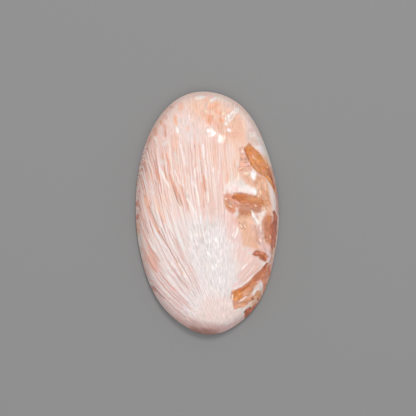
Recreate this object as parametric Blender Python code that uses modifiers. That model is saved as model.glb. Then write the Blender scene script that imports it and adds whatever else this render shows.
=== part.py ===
"""An oval scolecite cabochon: one polished stone, flat on the back and domed on top.

Frame: metres, +Z up. The origin is the middle of the flat back, +Y runs along the stone and +X across it.
The stone is turned round on its Z axis like a lathe blank, and the blank is then ground to the oval outline.
"""
import math

import bpy
from mathutils import Vector
from mathutils.geometry import interpolate_bezier

MM = 0.001

# Overall size
LENGTH = 38.0 * MM
WIDTH = 22.4 * MM
HEIGHT = 7.0 * MM
HALF_LENGTH = LENGTH / 2
HALF_WIDTH = WIDTH / 2

# The outline is a shade fuller than an ellipse, and the hand-ground edge waves in and out a little.
OUTLINE_POWER = 2.076
# Waves round the edge: how many, their height as a share of the radius, and where the first crest stands
EDGE_WAVES = (
    (5, 0.0031, math.radians(-47)),
    (6, 0.0015, math.radians(-16)),
    (7, 0.0038, math.radians(48)),
    (8, 0.0034, math.radians(15)),
)

# The bevel round the flat back, and the girdle, which is the widest line of the stone
BEVEL_INSET = 0.55 * MM
BEVEL_CORNER_INSET = 0.08 * MM
BEVEL_CORNER_HEIGHT = 0.50 * MM
GIRDLE_HEIGHT = 0.75 * MM

# The low wall above the girdle leans in, up to the shoulder.
WALL_HEIGHT = 1.80 * MM
WALL_LEAN = 0.65 * MM
GIRDLE_ROUNDING = 0.25

# The dome's section is one Bezier curve. Its handles lie flat at the crown and along the wall at the shoulder.
CROWN_HANDLE = 6.5 * MM
SHOULDER_HANDLE = 2.2 * MM

# How soon, going in from the edge, the dome's contours stretch from the edge's own spacing to the oval's length
CONTOUR_STRETCH = 0.6

# Facets
STEPS_AROUND = 96
DOME_STEPS = 24
WALL_STEPS = 3

STONE_COLOUR = (0.86, 0.70, 0.65, 1.0)
STONE_ROUGHNESS = 0.16


def clear_scene():
    for obj in list(bpy.data.objects):
        bpy.data.objects.remove(obj, do_unlink=True)


def outline_radius(angle):
    """The distance from the Z axis to the girdle in the direction of angle, measured from +X."""
    across = abs(math.cos(angle)) / HALF_WIDTH
    along = abs(math.sin(angle)) / HALF_LENGTH
    radius = (across**OUTLINE_POWER + along**OUTLINE_POWER) ** (-1 / OUTLINE_POWER)
    turn = math.atan2(math.sin(angle) / HALF_LENGTH, math.cos(angle) / HALF_WIDTH)
    waves = sum(height * math.cos(count * turn - crest) for count, height, crest in EDGE_WAVES)
    return radius * (1 + waves)


def wall_points():
    """The wall from just under the shoulder down to the girdle, bending upright as it gets there."""
    points = []
    for step in range(1, WALL_STEPS + 1):
        down = step / WALL_STEPS
        inset = WALL_LEAN * (1 - down) * (1 - GIRDLE_ROUNDING * down)
        height = GIRDLE_HEIGHT + WALL_HEIGHT * (1 - down)
        points.append((HALF_WIDTH - inset, height))
    return points


def section():
    """The blank's section, as distance from the axis and height, from the crown to the middle of the back."""
    crown = Vector((0, HEIGHT))
    shoulder = Vector((HALF_WIDTH - WALL_LEAN, GIRDLE_HEIGHT + WALL_HEIGHT))
    up_the_wall = Vector((-WALL_LEAN, WALL_HEIGHT)).normalized()
    crown_handle = crown + Vector((CROWN_HANDLE, 0))
    shoulder_handle = shoulder + up_the_wall * SHOULDER_HANDLE
    dome = interpolate_bezier(crown, crown_handle, shoulder_handle, shoulder, DOME_STEPS + 1)

    points = [(point.x, point.y) for point in dome]
    points += wall_points()
    points.append((HALF_WIDTH - BEVEL_CORNER_INSET, BEVEL_CORNER_HEIGHT))
    points.append((HALF_WIDTH - BEVEL_INSET, 0.0))
    points.append((0.0, 0.0))
    return points


def turned_blank():
    """The section turned round the Z axis, as a mesh."""
    points = section()
    mesh = bpy.data.meshes.new("blank")
    edges = [(i, i + 1) for i in range(len(points) - 1)]
    mesh.from_pydata([(radius, 0.0, height) for radius, height in points], edges, [])
    profile = bpy.data.objects.new("blank", mesh)
    bpy.context.scene.collection.objects.link(profile)

    screw = profile.modifiers.new("turn", "SCREW")
    screw.axis = "Z"
    screw.angle = math.tau
    screw.steps = STEPS_AROUND
    screw.render_steps = STEPS_AROUND
    screw.use_merge_vertices = True
    screw.merge_threshold = 0.001 * MM

    graph = bpy.context.evaluated_depsgraph_get()
    turned = bpy.data.meshes.new_from_object(profile.evaluated_get(graph))
    bpy.data.objects.remove(profile, do_unlink=True)
    return turned


def grind_to_oval(mesh):
    """Brings every point of the round blank to its place on the oval stone.

    Close to the edge a contour keeps its distance from the girdle all the way round, so the steep side is
    as wide at the ends as along the flanks. Further in, the contours stretch to the oval's length.
    """
    for vertex in mesh.vertices:
        place = vertex.co
        turn = math.atan2(place.y, place.x)
        angle = math.atan2(HALF_LENGTH * math.sin(turn), HALF_WIDTH * math.cos(turn))
        edge = outline_radius(angle)
        inset = max(0.0, HALF_WIDTH - math.hypot(place.x, place.y))
        stretch = (edge / HALF_WIDTH - 1) * (inset / HALF_WIDTH) ** CONTOUR_STRETCH
        radius = edge - inset * (1 + stretch)
        place.x = radius * math.cos(angle)
        place.y = radius * math.sin(angle)


def fit_to_size(mesh):
    """Takes up what the edge's waves add, so the stone has its stated size and its middle on the origin."""
    for axis, size in ((0, WIDTH), (1, LENGTH)):
        places = [vertex.co[axis] for vertex in mesh.vertices]
        low = min(places)
        high = max(places)
        for vertex in mesh.vertices:
            vertex.co[axis] = (vertex.co[axis] - (low + high) / 2) * size / (high - low)


def stone_material():
    material = bpy.data.materials.new("polished_stone")
    material.use_nodes = True
    shader = material.node_tree.nodes["Principled BSDF"]
    shader.inputs["Base Color"].default_value = STONE_COLOUR
    shader.inputs["Roughness"].default_value = STONE_ROUGHNESS
    shader.inputs["Metallic"].default_value = 0.0
    return material


def cabochon(collection):
    mesh = turned_blank()
    mesh.name = "cabochon"
    grind_to_oval(mesh)
    fit_to_size(mesh)
    mesh.shade_smooth()
    mesh.set_sharp_from_angle(angle=math.radians(30))
    mesh.materials.append(stone_material())
    collection.objects.link(bpy.data.objects.new("cabochon", mesh))


def main():
    clear_scene()
    collection = bpy.data.collections.new("scolecite_cabochon")
    bpy.context.scene.collection.children.link(collection)
    cabochon(collection)


main()
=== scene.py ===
"""The looks of the scolecite cabochon: a polished stone of pinkish white needles with orange crystals.

The fine stone has the solid's own shape. Its markings are painted on its points from lists of strokes and
crystals, given in millimetres from the stone's middle, +X towards the crystals and +Y away from the
root of the needles. Its grain comes from noise that runs along the needles and along each crystal.
"""
import math

import bpy
import numpy as np
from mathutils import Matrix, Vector, noise
from mathutils.geometry import interpolate_bezier


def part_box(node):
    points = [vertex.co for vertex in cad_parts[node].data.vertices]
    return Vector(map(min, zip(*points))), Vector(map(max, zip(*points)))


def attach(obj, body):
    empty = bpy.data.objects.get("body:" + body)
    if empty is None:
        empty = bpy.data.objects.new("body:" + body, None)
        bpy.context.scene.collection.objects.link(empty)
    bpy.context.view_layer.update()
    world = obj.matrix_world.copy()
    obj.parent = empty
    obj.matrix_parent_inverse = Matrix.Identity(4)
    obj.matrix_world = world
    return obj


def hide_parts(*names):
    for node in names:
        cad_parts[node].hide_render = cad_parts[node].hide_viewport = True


MM = 0.001

# The noise gives the same values on every run only when it is seeded
SEED = 3
noise.seed_set(SEED)

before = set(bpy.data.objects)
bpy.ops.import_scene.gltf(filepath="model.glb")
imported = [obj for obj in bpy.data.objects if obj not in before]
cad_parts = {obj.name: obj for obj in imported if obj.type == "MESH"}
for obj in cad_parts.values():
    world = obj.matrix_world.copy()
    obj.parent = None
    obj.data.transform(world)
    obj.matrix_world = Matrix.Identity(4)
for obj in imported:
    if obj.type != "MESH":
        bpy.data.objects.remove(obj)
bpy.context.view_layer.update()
LOW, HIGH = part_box("cabochon")

# The stone's size, in millimetres, and its outline, as the solid has them
HALF_WIDTH = (HIGH.x - LOW.x) / 2 / MM
HALF_LENGTH = (HIGH.y - LOW.y) / 2 / MM
HEIGHT = (HIGH.z - LOW.z) / MM
OUTLINE_POWER = 2.076
EDGE_WAVES = (
    (5, 0.0031, math.radians(-47)),
    (6, 0.0015, math.radians(-16)),
    (7, 0.0038, math.radians(48)),
    (8, 0.0034, math.radians(15)),
)
CONTOUR_STRETCH = 0.6

# The stone's section
BEVEL_INSET = 0.55
BEVEL_CORNER = (0.08, 0.50)
GIRDLE_HEIGHT = 0.75
WALL_HEIGHT = 1.80
WALL_LEAN = 0.65
CROWN_HANDLE = 6.5
SHOULDER_HANDLE = 2.2
CORNER_ROUNDING = 0.07
SHOULDER_HEIGHT = GIRDLE_HEIGHT + WALL_HEIGHT

# How finely the section is drawn, and how many times its corner rounding the rounding reaches
DOME_POINTS = 400
SECTION_STEP = 0.01
ROUNDING_REACH = 3

# The fine mesh: rings of points on the top and the wall, on the bevel, and on the back, and how many more
# points each ring has than the one inside it on the top
TOP_RINGS = 140
BEVEL_RINGS = 8
BACK_RINGS = 70
RING_GROWTH = 6

# The hand-polished dome isn't quite even: wavelength and height of its unevenness
POLISH_WAVES = ((6.0, 0.040), (2.2, 0.012))

# The needles grow from a root just past the lower end. Each guide is a needle, named by the angle at which
# it leaves the root, in degrees from +Y, with some of the points that it passes.
ROOT = (1.4, -20.0)
NEEDLES = {
    -86: ((-11.0, -6.0), (-9.1, -11.6), (-6.8, -15.0), (-2.8, -17.9)),
    -72: ((-14.2, 4.0), (-11.7, -4.0), (-8.9, -11.0), (-4.2, -16.0)),
    -54: ((-11.9, 6.0), (-10.6, -2.0), (-8.6, -5.8), (-5.4, -11.1), (-2.3, -14.9)),
    -41: ((-10.0, 8.0), (-8.7, 0.0), (-5.9, -6.0), (-2.8, -12.0), (-0.2, -16.7)),
    -33: ((-8.6, 10.0), (-7.4, 2.5), (-5.4, -4.0), (-3.0, -10.0), (0.1, -16.8)),
    -21: ((-6.4, 12.0), (-5.1, 4.5), (-3.5, -1.5), (-1.8, -9.0), (0.5, -17.0)),
    -13.5: ((-3.9, 14.0), (-2.8, 3.5), (-1.55, -3.5), (-0.15, -12.0)),
    -7: ((-1.2, 16.0), (-0.5, 5.0), (0.0, -6.0), (0.7, -14.0)),
    0: ((1.2, 17.0), (1.4, 4.0), (1.4, -4.0), (1.4, -15.0)),
    8.5: ((4.6, 17.0), (4.0, 4.0), (3.0, -8.0), (2.1, -15.0)),
    22: ((9.0, 17.0), (7.8, 4.0), (5.5, -8.0), (3.3, -15.0)),
    38: ((14.0, 10.0), (12.5, 0.0), (9.1, -8.0), (4.8, -15.0)),
    58: ((13.5, -7.0), (9.2, -13.0), (5.2, -17.0)),
}
# The needle field's terms: powers of the angle and of the distance, and the distance that counts as one
FIELD_ACROSS = 5
FIELD_OUT = 4
FIELD_REACH = 30.0

# Colours, as red, green and blue out of 255, of the stone in full light
COLOURS = {
    "base": (241, 215, 206),
    "milk": (238, 231, 230),
    "white": (255, 248, 246),
    "cream": (252, 230, 208),
    "blush": (240, 208, 199),
    "pink": (240, 198, 193),
    "peach": (244, 204, 182),
    "salmon": (239, 188, 166),
    "copper": (226, 162, 134),
    "rose": (216, 172, 162),
    "mauve": (212, 184, 180),
    "umber": (190, 144, 132),
    "sand": (226, 200, 188),
    "pearl": (232, 222, 216),
    "wheat": (228, 178, 148),
    "gold": (222, 150, 88),
    "orange": (212, 132, 82),
    "tan": (212, 156, 124),
    "brown": (192, 116, 82),
    "rust": (172, 94, 66),
    "dark": (140, 76, 54),
    "fawn": (218, 156, 112),
    "dusk": (208, 164, 155),
    "snow": (248, 234, 231),
    "shell": (245, 222, 212),
    "skin": (226, 179, 163),
    "clay": (205, 158, 145),
    "plum": (168, 118, 108),
    "brick": (180, 106, 84),
    "opal": (229, 210, 205),
    "frost": (237, 219, 222),
    "ice": (248, 238, 240),
    "bone": (208, 196, 172),
    "veil": (226, 188, 178),
    "apricot": (237, 194, 170),
    "coral": (236, 160, 126),
    "terra": (204, 138, 108),
    "honey": (217, 140, 78),
    "ember": (202, 118, 66),
    "butter": (240, 180, 126),
    "cocoa": (192, 142, 118),
    "russet": (168, 84, 48),
    "melon": (244, 184, 154),
}
FULL_LIGHT = 0.90

# The colours are those of the lit stone. On a slope a colour is brightened, up to a limit, to make up for a
# share of the light lost there: the share for the grain, and for marks and crystals.
LIGHT_DIRECTION = (0.07, 0.18, 1.0)
SHADE_LIGHT = 0.38
DIMMEST = 0.55
GRAIN_LIFT = 0.5
MARK_LIFT = 1.0
BRIGHTEST = 0.94

# Wide soft areas, a few of them painted light or shade: colour, ends of the middle line, half width,
# strength
WASHES = (
    ("milk", -1.5, -3.5, 0.4, -13.5, 3.4, 0.9),
    ("milk", 1.6, -4.0, 2.2, -14.5, 3.0, 0.8),
    ("milk", -6.5, -3.5, -5.5, -9.0, 2.6, 0.6),
    # Lighter over the lower end: partly the stone's whiter tone there, partly painted light to make up for
    # the light that falls off towards the lower end
    ("snow", -6.6, -10.5, 1.8, -16.2, 2.6, 0.8),
    ("blush", -7.5, 11.0, -8.4, 1.0, 2.6, 0.8),
    ("peach", -5.2, 9.5, -4.4, 3.0, 1.6, 0.4),
    ("skin", -9.5, 11.5, -9.9, 5.0, 1.1, 1.0),
    ("skin", -10.8, 4.5, -10.9, -2.0, 0.6, 0.8),
    ("skin", -5.6, 16.8, -9.1, 11.8, 0.8, 0.6),
    ("blush", -7.5, 12.0, -5.0, 15.5, 2.2, 0.4),
    ("peach", -0.4, 16.8, 3.2, 14.6, 1.9, 0.9),
    ("apricot", 2.6, 13.6, 3.4, 11.6, 1.0, 0.7),
    ("peach", 5.3, 14.6, 5.0, 11.8, 1.3, 0.9),
    ("apricot", 5.1, 14.2, 4.9, 12.0, 0.9, 0.6),
    ("milk", -3.4, 14.0, -2.0, 12.0, 1.2, 0.4),
    ("peach", 1.5, 10.5, 3.6, 5.0, 1.4, 0.45),
    ("peach", 5.6, 11.6, 6.2, 10.9, 0.9, 0.7),
    ("white", 3.6, 4.0, 7.4, 3.5, 0.7, 0.7),
    ("pearl", 4.6, 5.4, 5.4, 4.5, 0.8, 0.8),
    ("sand", 7.3, 11.6, 8.6, 10.9, 0.9, 0.9),
    ("pink", 3.7, -0.4, 4.1, -4.0, 0.9, 0.6),
    ("blush", 5.0, -6.4, 7.4, -8.2, 1.2, 0.6),
    ("mauve", -10.1, -7.5, -9.4, -9.8, 0.5, 0.4),
    ("frost", -9.2, -10.5, -5.2, -16.2, 0.8, 0.9),
    ("milk", -7.9, -10.0, -4.6, -14.8, 1.3, 0.7),
    ("milk", -5.4, -9.6, -2.0, -13.2, 1.8, 0.6),
    ("ice", -7.6, -10.6, -4.4, -15.4, 1.6, 0.7),
    ("ice", -8.7, -11.2, -5.8, -15.4, 1.0, 0.8),
    ("salmon", -9.3, 11.0, -10.0, 5.5, 0.9, 0.45),
    ("salmon", -7.8, 6.6, -6.6, 2.0, 1.2, 0.45),
    ("veil", 5.2, -10.2, 7.6, -8.0, 1.0, 0.35),
    ("veil", -3.0, -16.6, 4.2, -16.8, 1.0, 0.25),
    ("blush", 0.0, -14.6, 3.4, -14.6, 1.6, 0.4),
    ("skin", -8.6, 9.0, -8.8, -2.0, 1.6, 0.35),
    ("peach", 4.5, 10.4, 4.8, 5.6, 0.7, 0.6),
    # Painted shade along the lower end's wall, darkest at the edge, with some of the stone's own rose tone
    # in it
    ("rose", -5.2, -16.2, -2.0, -17.6, 0.7, 0.5),
    ("mauve", -3.4, -17.7, 1.6, -18.5, 1.1, 1.0),
    ("clay", -3.2, -18.1, 1.8, -18.8, 0.8, 0.5),
    ("plum", -4.6, -17.8, 2.6, -19.2, 0.52, 1.0),
    ("pink", 1.8, -18.4, 5.4, -16.8, 0.5, 0.6),
    ("white", 8.6, 11.6, 9.8, 8.6, 0.7, 0.8),
    ("shell", 6.2, 15.2, 8.4, 12.4, 0.7, 0.8),
    ("clay", 10.5, 6.8, 11.1, 2.6, 0.5, 0.9),
    # Painted shade along the right wall beside the crystals
    ("umber", 11.0, 4.2, 11.2, 0.0, 0.35, 0.8),
    ("rose", 10.6, -5.6, 9.4, -10.8, 0.5, 0.9),
)

# Threads: single needles and bundles that can be told apart, as colour, half width, strength and the path
THREADS = (
    # Pale ones at the left
    ("shell", 0.12, 0.95, (-9.7, 8.5), (-9.0, 8.45), (-8.55, 7.9), (-8.35, 7.2), (-8.15, 6.4), (-7.85, 5.5),
     (-7.3, 4.8)),
    ("white", 0.16, 0.95, (-7.15, 7.4), (-6.85, 6.6), (-6.55, 5.8), (-6.1, 4.8), (-5.8, 4.2)),
    ("pearl", 0.34, 0.8, (-6.75, 8.4), (-6.5, 7.8)),
    ("white", 0.09, 0.9, (-10.0, 3.85), (-9.6, 3.2), (-9.25, 2.7), (-8.95, 2.3)),
    ("cream", 0.12, 0.8, (-8.9, 3.8), (-8.75, 3.45)),
    ("white", 0.09, 0.8, (-8.6, 3.9), (-8.2, 3.1), (-7.7, 2.35)),
    ("pearl", 0.2, 0.95, (-8.55, 1.5), (-8.35, 0.5), (-8.0, -0.3), (-7.6, -1.2), (-7.3, -1.9)),
    ("white", 0.09, 0.9, (-7.3, -1.3), (-7.05, -1.95)),
    ("shell", 0.18, 0.8, (-7.0, 3.3), (-6.7, 2.6), (-6.35, 1.8), (-6.0, 1.0)),
    ("shell", 0.1, 0.8, (-10.35, 6.0), (-10.4, 5.2), (-10.25, 4.4)),
    ("shell", 0.12, 0.8, (-10.3, 3.5), (-9.9, 2.2), (-9.65, 1.2), (-9.35, 0.1), (-9.0, -0.8)),
    ("white", 0.08, 0.8, (-10.85, 1.6), (-10.65, 0.9)),
    ("cream", 0.09, 0.8, (-10.3, 1.3), (-10.2, 1.1)),
    ("white", 0.09, 0.7, (-6.15, 0.95), (-5.7, 0.1), (-5.3, -0.7), (-4.95, -1.4)),
    ("shell", 0.1, 0.8, (-9.45, -1.4), (-8.9, -2.4), (-8.35, -3.4), (-7.8, -4.5)),
    ("white", 0.12, 0.85, (-8.7, -1.2), (-8.25, -2.2), (-7.8, -3.1), (-7.2, -4.2), (-6.6, -5.3)),
    ("milk", 0.22, 0.8, (-10.85, -3.0), (-10.55, -4.2)),
    ("milk", 0.2, 0.85, (-9.3, -3.8), (-8.8, -4.8), (-8.2, -5.7)),
    ("white", 0.07, 0.9, (-6.95, -3.5), (-6.35, -4.7), (-5.75, -5.8), (-5.2, -6.7)),
    ("white", 0.15, 0.9, (-5.85, -7.5), (-5.35, -8.2)),
    ("white", 0.09, 0.7, (-6.3, -3.2), (-5.8, -4.2), (-5.3, -5.3)),
    ("white", 0.08, 0.7, (-7.1, -7.3), (-6.5, -8.3), (-5.9, -9.2)),
    ("white", 0.08, 0.6, (-8.5, -10.4), (-7.8, -11.2), (-7.1, -12.0), (-6.4, -12.8)),
    # Salmon bundles with their dark edges at the left
    ("copper", 0.3, 0.8, (-5.6, 6.1), (-5.3, 5.2), (-4.95, 4.3), (-4.65, 3.4), (-4.35, 2.6), (-3.95, 1.5)),
    ("copper", 0.2, 0.7, (-4.0, 4.7), (-3.75, 3.7), (-3.45, 2.8), (-3.2, 1.8), (-3.0, 0.6)),
    ("salmon", 0.2, 0.8, (-4.6, 6.7), (-4.35, 5.8), (-4.15, 5.1)),
    ("salmon", 0.17, 0.9, (-8.75, 6.7), (-8.5, 5.8), (-8.45, 5.2)),
    ("copper", 0.22, 0.85, (-7.65, 7.0), (-7.45, 6.2), (-7.3, 5.5), (-7.25, 4.9)),
    ("salmon", 0.17, 0.9, (-6.05, 9.6), (-5.85, 8.7), (-5.6, 7.8), (-5.4, 7.0)),
    ("copper", 0.1, 0.7, (-6.1, 9.3), (-5.9, 8.4), (-5.65, 7.7)),
    ("wheat", 0.34, 0.9, (-9.6, 3.1), (-9.3, 2.1), (-9.1, 1.1)),
    ("copper", 0.3, 0.8, (-9.1, 1.3), (-8.85, 0.2), (-8.55, -0.6), (-8.2, -1.5), (-7.85, -2.2),
     (-7.5, -2.8)),
    ("peach", 0.28, 0.9, (-8.1, 3.0), (-7.85, 2.0), (-7.5, 1.0), (-7.15, 0.2), (-6.85, -0.5), (-6.5, -1.2)),
    ("salmon", 0.1, 0.6, (-6.4, 3.6), (-6.1, 2.7), (-5.85, 1.9), (-5.5, 1.0)),
    ("skin", 0.38, 0.85, (-9.3, -4.7), (-9.0, -5.6), (-8.6, -6.6), (-8.2, -7.7)),
    ("skin", 0.3, 0.9, (-9.8, -6.7), (-9.1, -7.6), (-8.3, -8.5)),
    ("skin", 0.34, 0.75, (-9.3, -6.4), (-8.7, -7.6), (-8.1, -8.7)),
    ("umber", 0.06, 0.7, (-9.2, -5.6), (-8.7, -6.6), (-8.2, -7.6), (-7.8, -8.4)),
    ("rose", 0.06, 0.8, (-8.9, -5.2), (-8.4, -6.2), (-7.9, -7.2)),
    ("copper", 0.13, 0.6, (-6.45, 7.2), (-6.2, 6.3), (-5.95, 5.5), (-5.7, 4.8)),
    ("copper", 0.14, 0.9, (-7.7, -2.3), (-7.35, -3.0), (-6.95, -3.8), (-6.55, -4.5)),
    ("wheat", 0.14, 0.8, (-5.45, -6.7), (-4.95, -7.6), (-4.5, -8.5), (-4.15, -9.4)),
    ("umber", 0.11, 0.9, (-9.0, 1.4), (-8.72, 0.5), (-8.35, -0.35), (-7.95, -1.2), (-7.6, -2.0)),
    ("umber", 0.12, 0.95, (-7.6, -2.5), (-7.1, -3.5), (-6.6, -4.4), (-6.1, -5.3), (-5.7, -6.0),
     (-5.2, -6.9), (-4.85, -7.5)),
    ("umber", 0.1, 0.9, (-5.2, 4.4), (-4.95, 3.4), (-4.7, 2.5), (-4.35, 1.7), (-4.05, 1.1)),
    ("umber", 0.08, 0.8, (-4.5, 3.4), (-4.2, 2.5), (-3.85, 1.7)),
    ("clay", 0.08, 0.7, (-3.6, 4.2), (-3.3, 3.2), (-3.12, 2.0), (-2.97, 1.0), (-2.8, 0.1)),
    ("clay", 0.14, 0.8, (-9.95, 3.55), (-9.6, 3.0), (-9.3, 2.6)),
    ("clay", 0.12, 0.7, (-9.0, 8.1), (-8.72, 7.5), (-8.6, 6.9), (-8.45, 6.2)),
    ("rose", 0.1, 0.8, (-7.65, 5.0), (-7.4, 4.0), (-7.25, 3.1), (-7.0, 2.0)),
    # Brown, red and pink ones along the left edge, from the upper end to the lower
    ("umber", 0.15, 0.95, (-9.65, 8.35), (-9.5, 7.7), (-9.4, 7.1), (-9.35, 6.7)),
    ("brick", 0.15, 0.6, (-9.95, 7.5), (-9.8, 7.0), (-9.6, 6.4)),
    ("umber", 0.16, 0.8, (-8.95, 10.35), (-8.9, 9.95)),
    ("brick", 0.19, 0.9, (-10.8, 2.5), (-10.75, 1.95)),
    ("brick", 0.19, 0.95, (-10.85, 0.35), (-10.8, -0.25)),
    ("tan", 0.18, 0.7, (-10.9, -0.9), (-10.85, -2.4)),
    ("plum", 0.12, 0.8, (-10.6, 1.8), (-10.4, 1.1), (-10.3, 0.6)),
    ("clay", 0.16, 0.8, (-10.3, 0.6), (-10.2, -0.3), (-10.0, -0.9)),
    ("clay", 0.16, 0.8, (-9.95, -0.7), (-9.75, -1.5)),
    ("umber", 0.12, 0.8, (-9.8, -1.4), (-9.5, -2.2), (-9.25, -2.9)),
    ("pink", 0.14, 0.8, (-10.55, -2.3), (-10.35, -2.45)),
    ("clay", 0.14, 0.9, (-10.1, -2.2), (-9.9, -3.0), (-9.55, -4.0), (-9.2, -4.8), (-8.8, -5.5),
     (-8.4, -6.1), (-7.65, -7.3)),
    ("clay", 0.14, 0.9, (-10.4, -4.8), (-10.1, -5.4), (-9.8, -6.0), (-9.4, -6.8), (-9.1, -7.5),
     (-8.75, -8.3), (-8.2, -8.9)),
    ("rose", 0.11, 0.85, (-9.0, -1.3), (-8.7, -2.1), (-8.3, -3.0), (-7.9, -3.9), (-7.55, -4.6),
     (-7.15, -5.1)),
    ("pink", 0.12, 0.8, (-7.95, -5.1), (-7.6, -5.6)),
    ("pink", 0.18, 0.8, (-8.0, -8.6), (-7.8, -8.9)),
    ("pink", 0.3, 0.8, (-5.9, -11.4), (-5.2, -12.0)),
    ("rose", 0.11, 0.95, (-7.8, -8.8), (-7.4, -9.4), (-7.0, -9.85), (-6.6, -10.4), (-6.2, -10.9),
     (-5.8, -11.4), (-5.3, -11.9)),
    ("plum", 0.13, 0.95, (-9.8, -9.8), (-9.3, -10.4), (-8.9, -11.0), (-8.45, -11.55), (-8.0, -12.1),
     (-7.6, -12.6), (-7.1, -13.1)),
    ("umber", 0.1, 0.75, (-7.2, -12.9), (-6.6, -13.6), (-6.0, -14.2), (-5.5, -14.8), (-5.0, -15.2),
     (-4.4, -15.7), (-3.9, -16.1)),
    ("umber", 0.1, 0.8, (-9.3, -9.8), (-8.8, -10.4), (-8.4, -10.9), (-7.8, -11.5)),
    # Fine dark ones at the left
    ("rose", 0.075, 0.5, (-8.65, -10.2), (-7.35, -12.05), (-6.05, -13.4), (-4.8, -15.0)),
    ("clay", 0.075, 0.5, (-8.15, -9.8), (-6.65, -11.6), (-5.4, -13.0), (-4.3, -14.4)),
    ("rose", 0.075, 0.5, (-7.25, -9.6), (-6.0, -11.2), (-4.7, -12.55), (-3.2, -13.95)),
    ("rose", 0.075, 0.5, (-6.8, -8.45), (-5.5, -10.3), (-4.0, -12.15), (-2.7, -13.5)),
    ("clay", 0.075, 0.5, (-6.3, -7.6), (-5.05, -9.45), (-3.55, -11.25), (-2.45, -12.45)),
    ("umber", 0.075, 0.5, (-8.5, -6.6), (-7.45, -8.2), (-6.6, -9.4)),
    ("umber", 0.075, 0.5, (-10.05, -6.15), (-9.0, -7.75), (-7.95, -9.1)),
    ("clay", 0.075, 0.5, (-10.3, -7.25), (-9.5, -8.85), (-8.65, -10.0)),
    ("dusk", 0.08, 0.9, (-5.95, -2.4), (-5.4, -3.4), (-4.95, -4.2), (-4.5, -5.3)),
    ("rose", 0.07, 0.7, (-5.5, -3.8), (-4.6, -5.6), (-3.7, -7.8)),
    ("plum", 0.09, 0.5, (-8.75, 1.9), (-8.7, 1.5)),
    # Beside the lath they lie across the others
    ("pink", 0.16, 0.8, (4.4, -9.9), (5.2, -9.2), (5.9, -8.6), (6.5, -7.8)),
    ("pink", 0.14, 0.8, (5.6, -10.4), (6.5, -9.5), (7.3, -8.6)),
    ("veil", 0.1, 0.7, (6.1, -9.6), (6.9, -8.8), (7.6, -8.0)),
    ("rose", 0.09, 0.6, (4.6, -10.8), (5.6, -9.8), (6.4, -9.0)),
    ("mauve", 0.08, 0.7, (5.0, -10.9), (5.9, -10.1), (6.8, -9.3)),
    ("white", 0.09, 0.6, (5.3, -10.3), (6.3, -9.3), (7.0, -8.5)),
    ("pink", 0.22, 0.6, (3.6, -11.6), (4.6, -10.9)),
    ("shell", 0.24, 0.8, (6.0, -7.8), (6.7, -7.3)),
    ("white", 0.11, 0.9, (4.95, -8.9), (5.27, -8.7), (5.6, -8.3), (5.97, -8.0)),
    # The upper left
    ("clay", 0.12, 0.8, (-8.45, 9.75), (-8.3, 9.3), (-8.1, 8.8)),
    ("shell", 0.09, 0.8, (-8.2, 9.6), (-8.0, 9.0), (-7.85, 8.6)),
    ("rose", 0.11, 0.6, (-3.45, 11.2), (-3.25, 9.9), (-3.1, 8.8)),
    ("pearl", 0.2, 0.8, (-4.8, 9.7), (-4.7, 9.1)),
    ("mauve", 0.1, 0.8, (-6.45, 11.1), (-6.3, 10.3)),
    ("salmon", 0.12, 0.6, (-5.1, 12.2), (-4.8, 10.8), (-4.6, 9.6)),
    # The middle
    ("pearl", 0.45, 0.6, (-4.4, 9.0), (-4.2, 8.0)),
    ("white", 0.1, 0.95, (-3.8, 10.7), (-3.55, 9.2), (-3.35, 8.2), (-3.2, 7.5)),
    ("salmon", 0.14, 0.85, (-0.95, 10.8), (-0.85, 9.6), (-0.78, 8.2)),
    ("white", 0.2, 0.8, (-0.3, 10.6), (-0.25, 9.5), (-0.2, 8.6)),
    ("white", 0.09, 0.9, (-0.12, 8.2), (0.0, 7.2), (0.0, 6.2), (0.05, 5.2)),
    ("umber", 0.08, 0.6, (-0.8, 7.9), (-0.7, 7.2), (-0.6, 6.4), (-0.6, 5.9)),
    ("salmon", 0.15, 0.7, (-1.7, 7.7), (-1.68, 7.0)),
    ("salmon", 0.26, 0.6, (-3.0, 7.2), (-2.75, 6.5), (-2.5, 5.9)),
    ("white", 0.12, 0.8, (-4.85, 6.9), (-4.5, 5.9), (-4.1, 4.9), (-3.8, 4.3)),
    ("white", 0.1, 0.9, (-1.78, 6.9), (-1.65, 5.6)),
    ("white", 0.14, 0.6, (-1.4, 7.2), (-1.3, 6.4)),
    ("white", 0.3, 0.5, (-2.15, 5.0), (-2.0, 4.3)),
    ("copper", 0.2, 0.95, (-0.37, 5.8), (-0.3, 4.9), (-0.25, 4.1), (-0.15, 3.4)),
    ("salmon", 0.22, 0.85, (-0.78, 4.7), (-0.65, 3.6), (-0.62, 2.5)),
    ("copper", 0.14, 0.7, (-0.5, 2.2), (-0.45, 0.9)),
    ("rose", 0.07, 0.7, (-0.15, 3.6), (-0.1, 2.8), (-0.05, 1.3)),
    ("white", 0.13, 0.95, (-1.72, 4.5), (-1.5, 3.5), (-1.35, 2.6), (-1.2, 1.2)),
    ("pearl", 0.16, 0.9, (-3.1, 3.4), (-2.95, 2.3)),
    ("clay", 0.08, 0.6, (-2.9, 3.0), (-2.75, 2.4)),
    ("white", 0.15, 0.85, (-3.1, 2.3), (-2.6, 1.5), (-2.1, 0.7), (-1.8, 0.0), (-1.62, -0.8), (-1.4, -1.8)),
    ("white", 0.08, 0.9, (-1.1, -0.2), (-1.08, -1.6)),
    ("white", 0.08, 0.8, (0.2, 3.7), (0.2, 1.6)),
    ("blush", 0.17, 0.9, (0.4, 1.8), (0.4, 0.8), (0.45, -0.3), (0.5, -1.7)),
)

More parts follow.
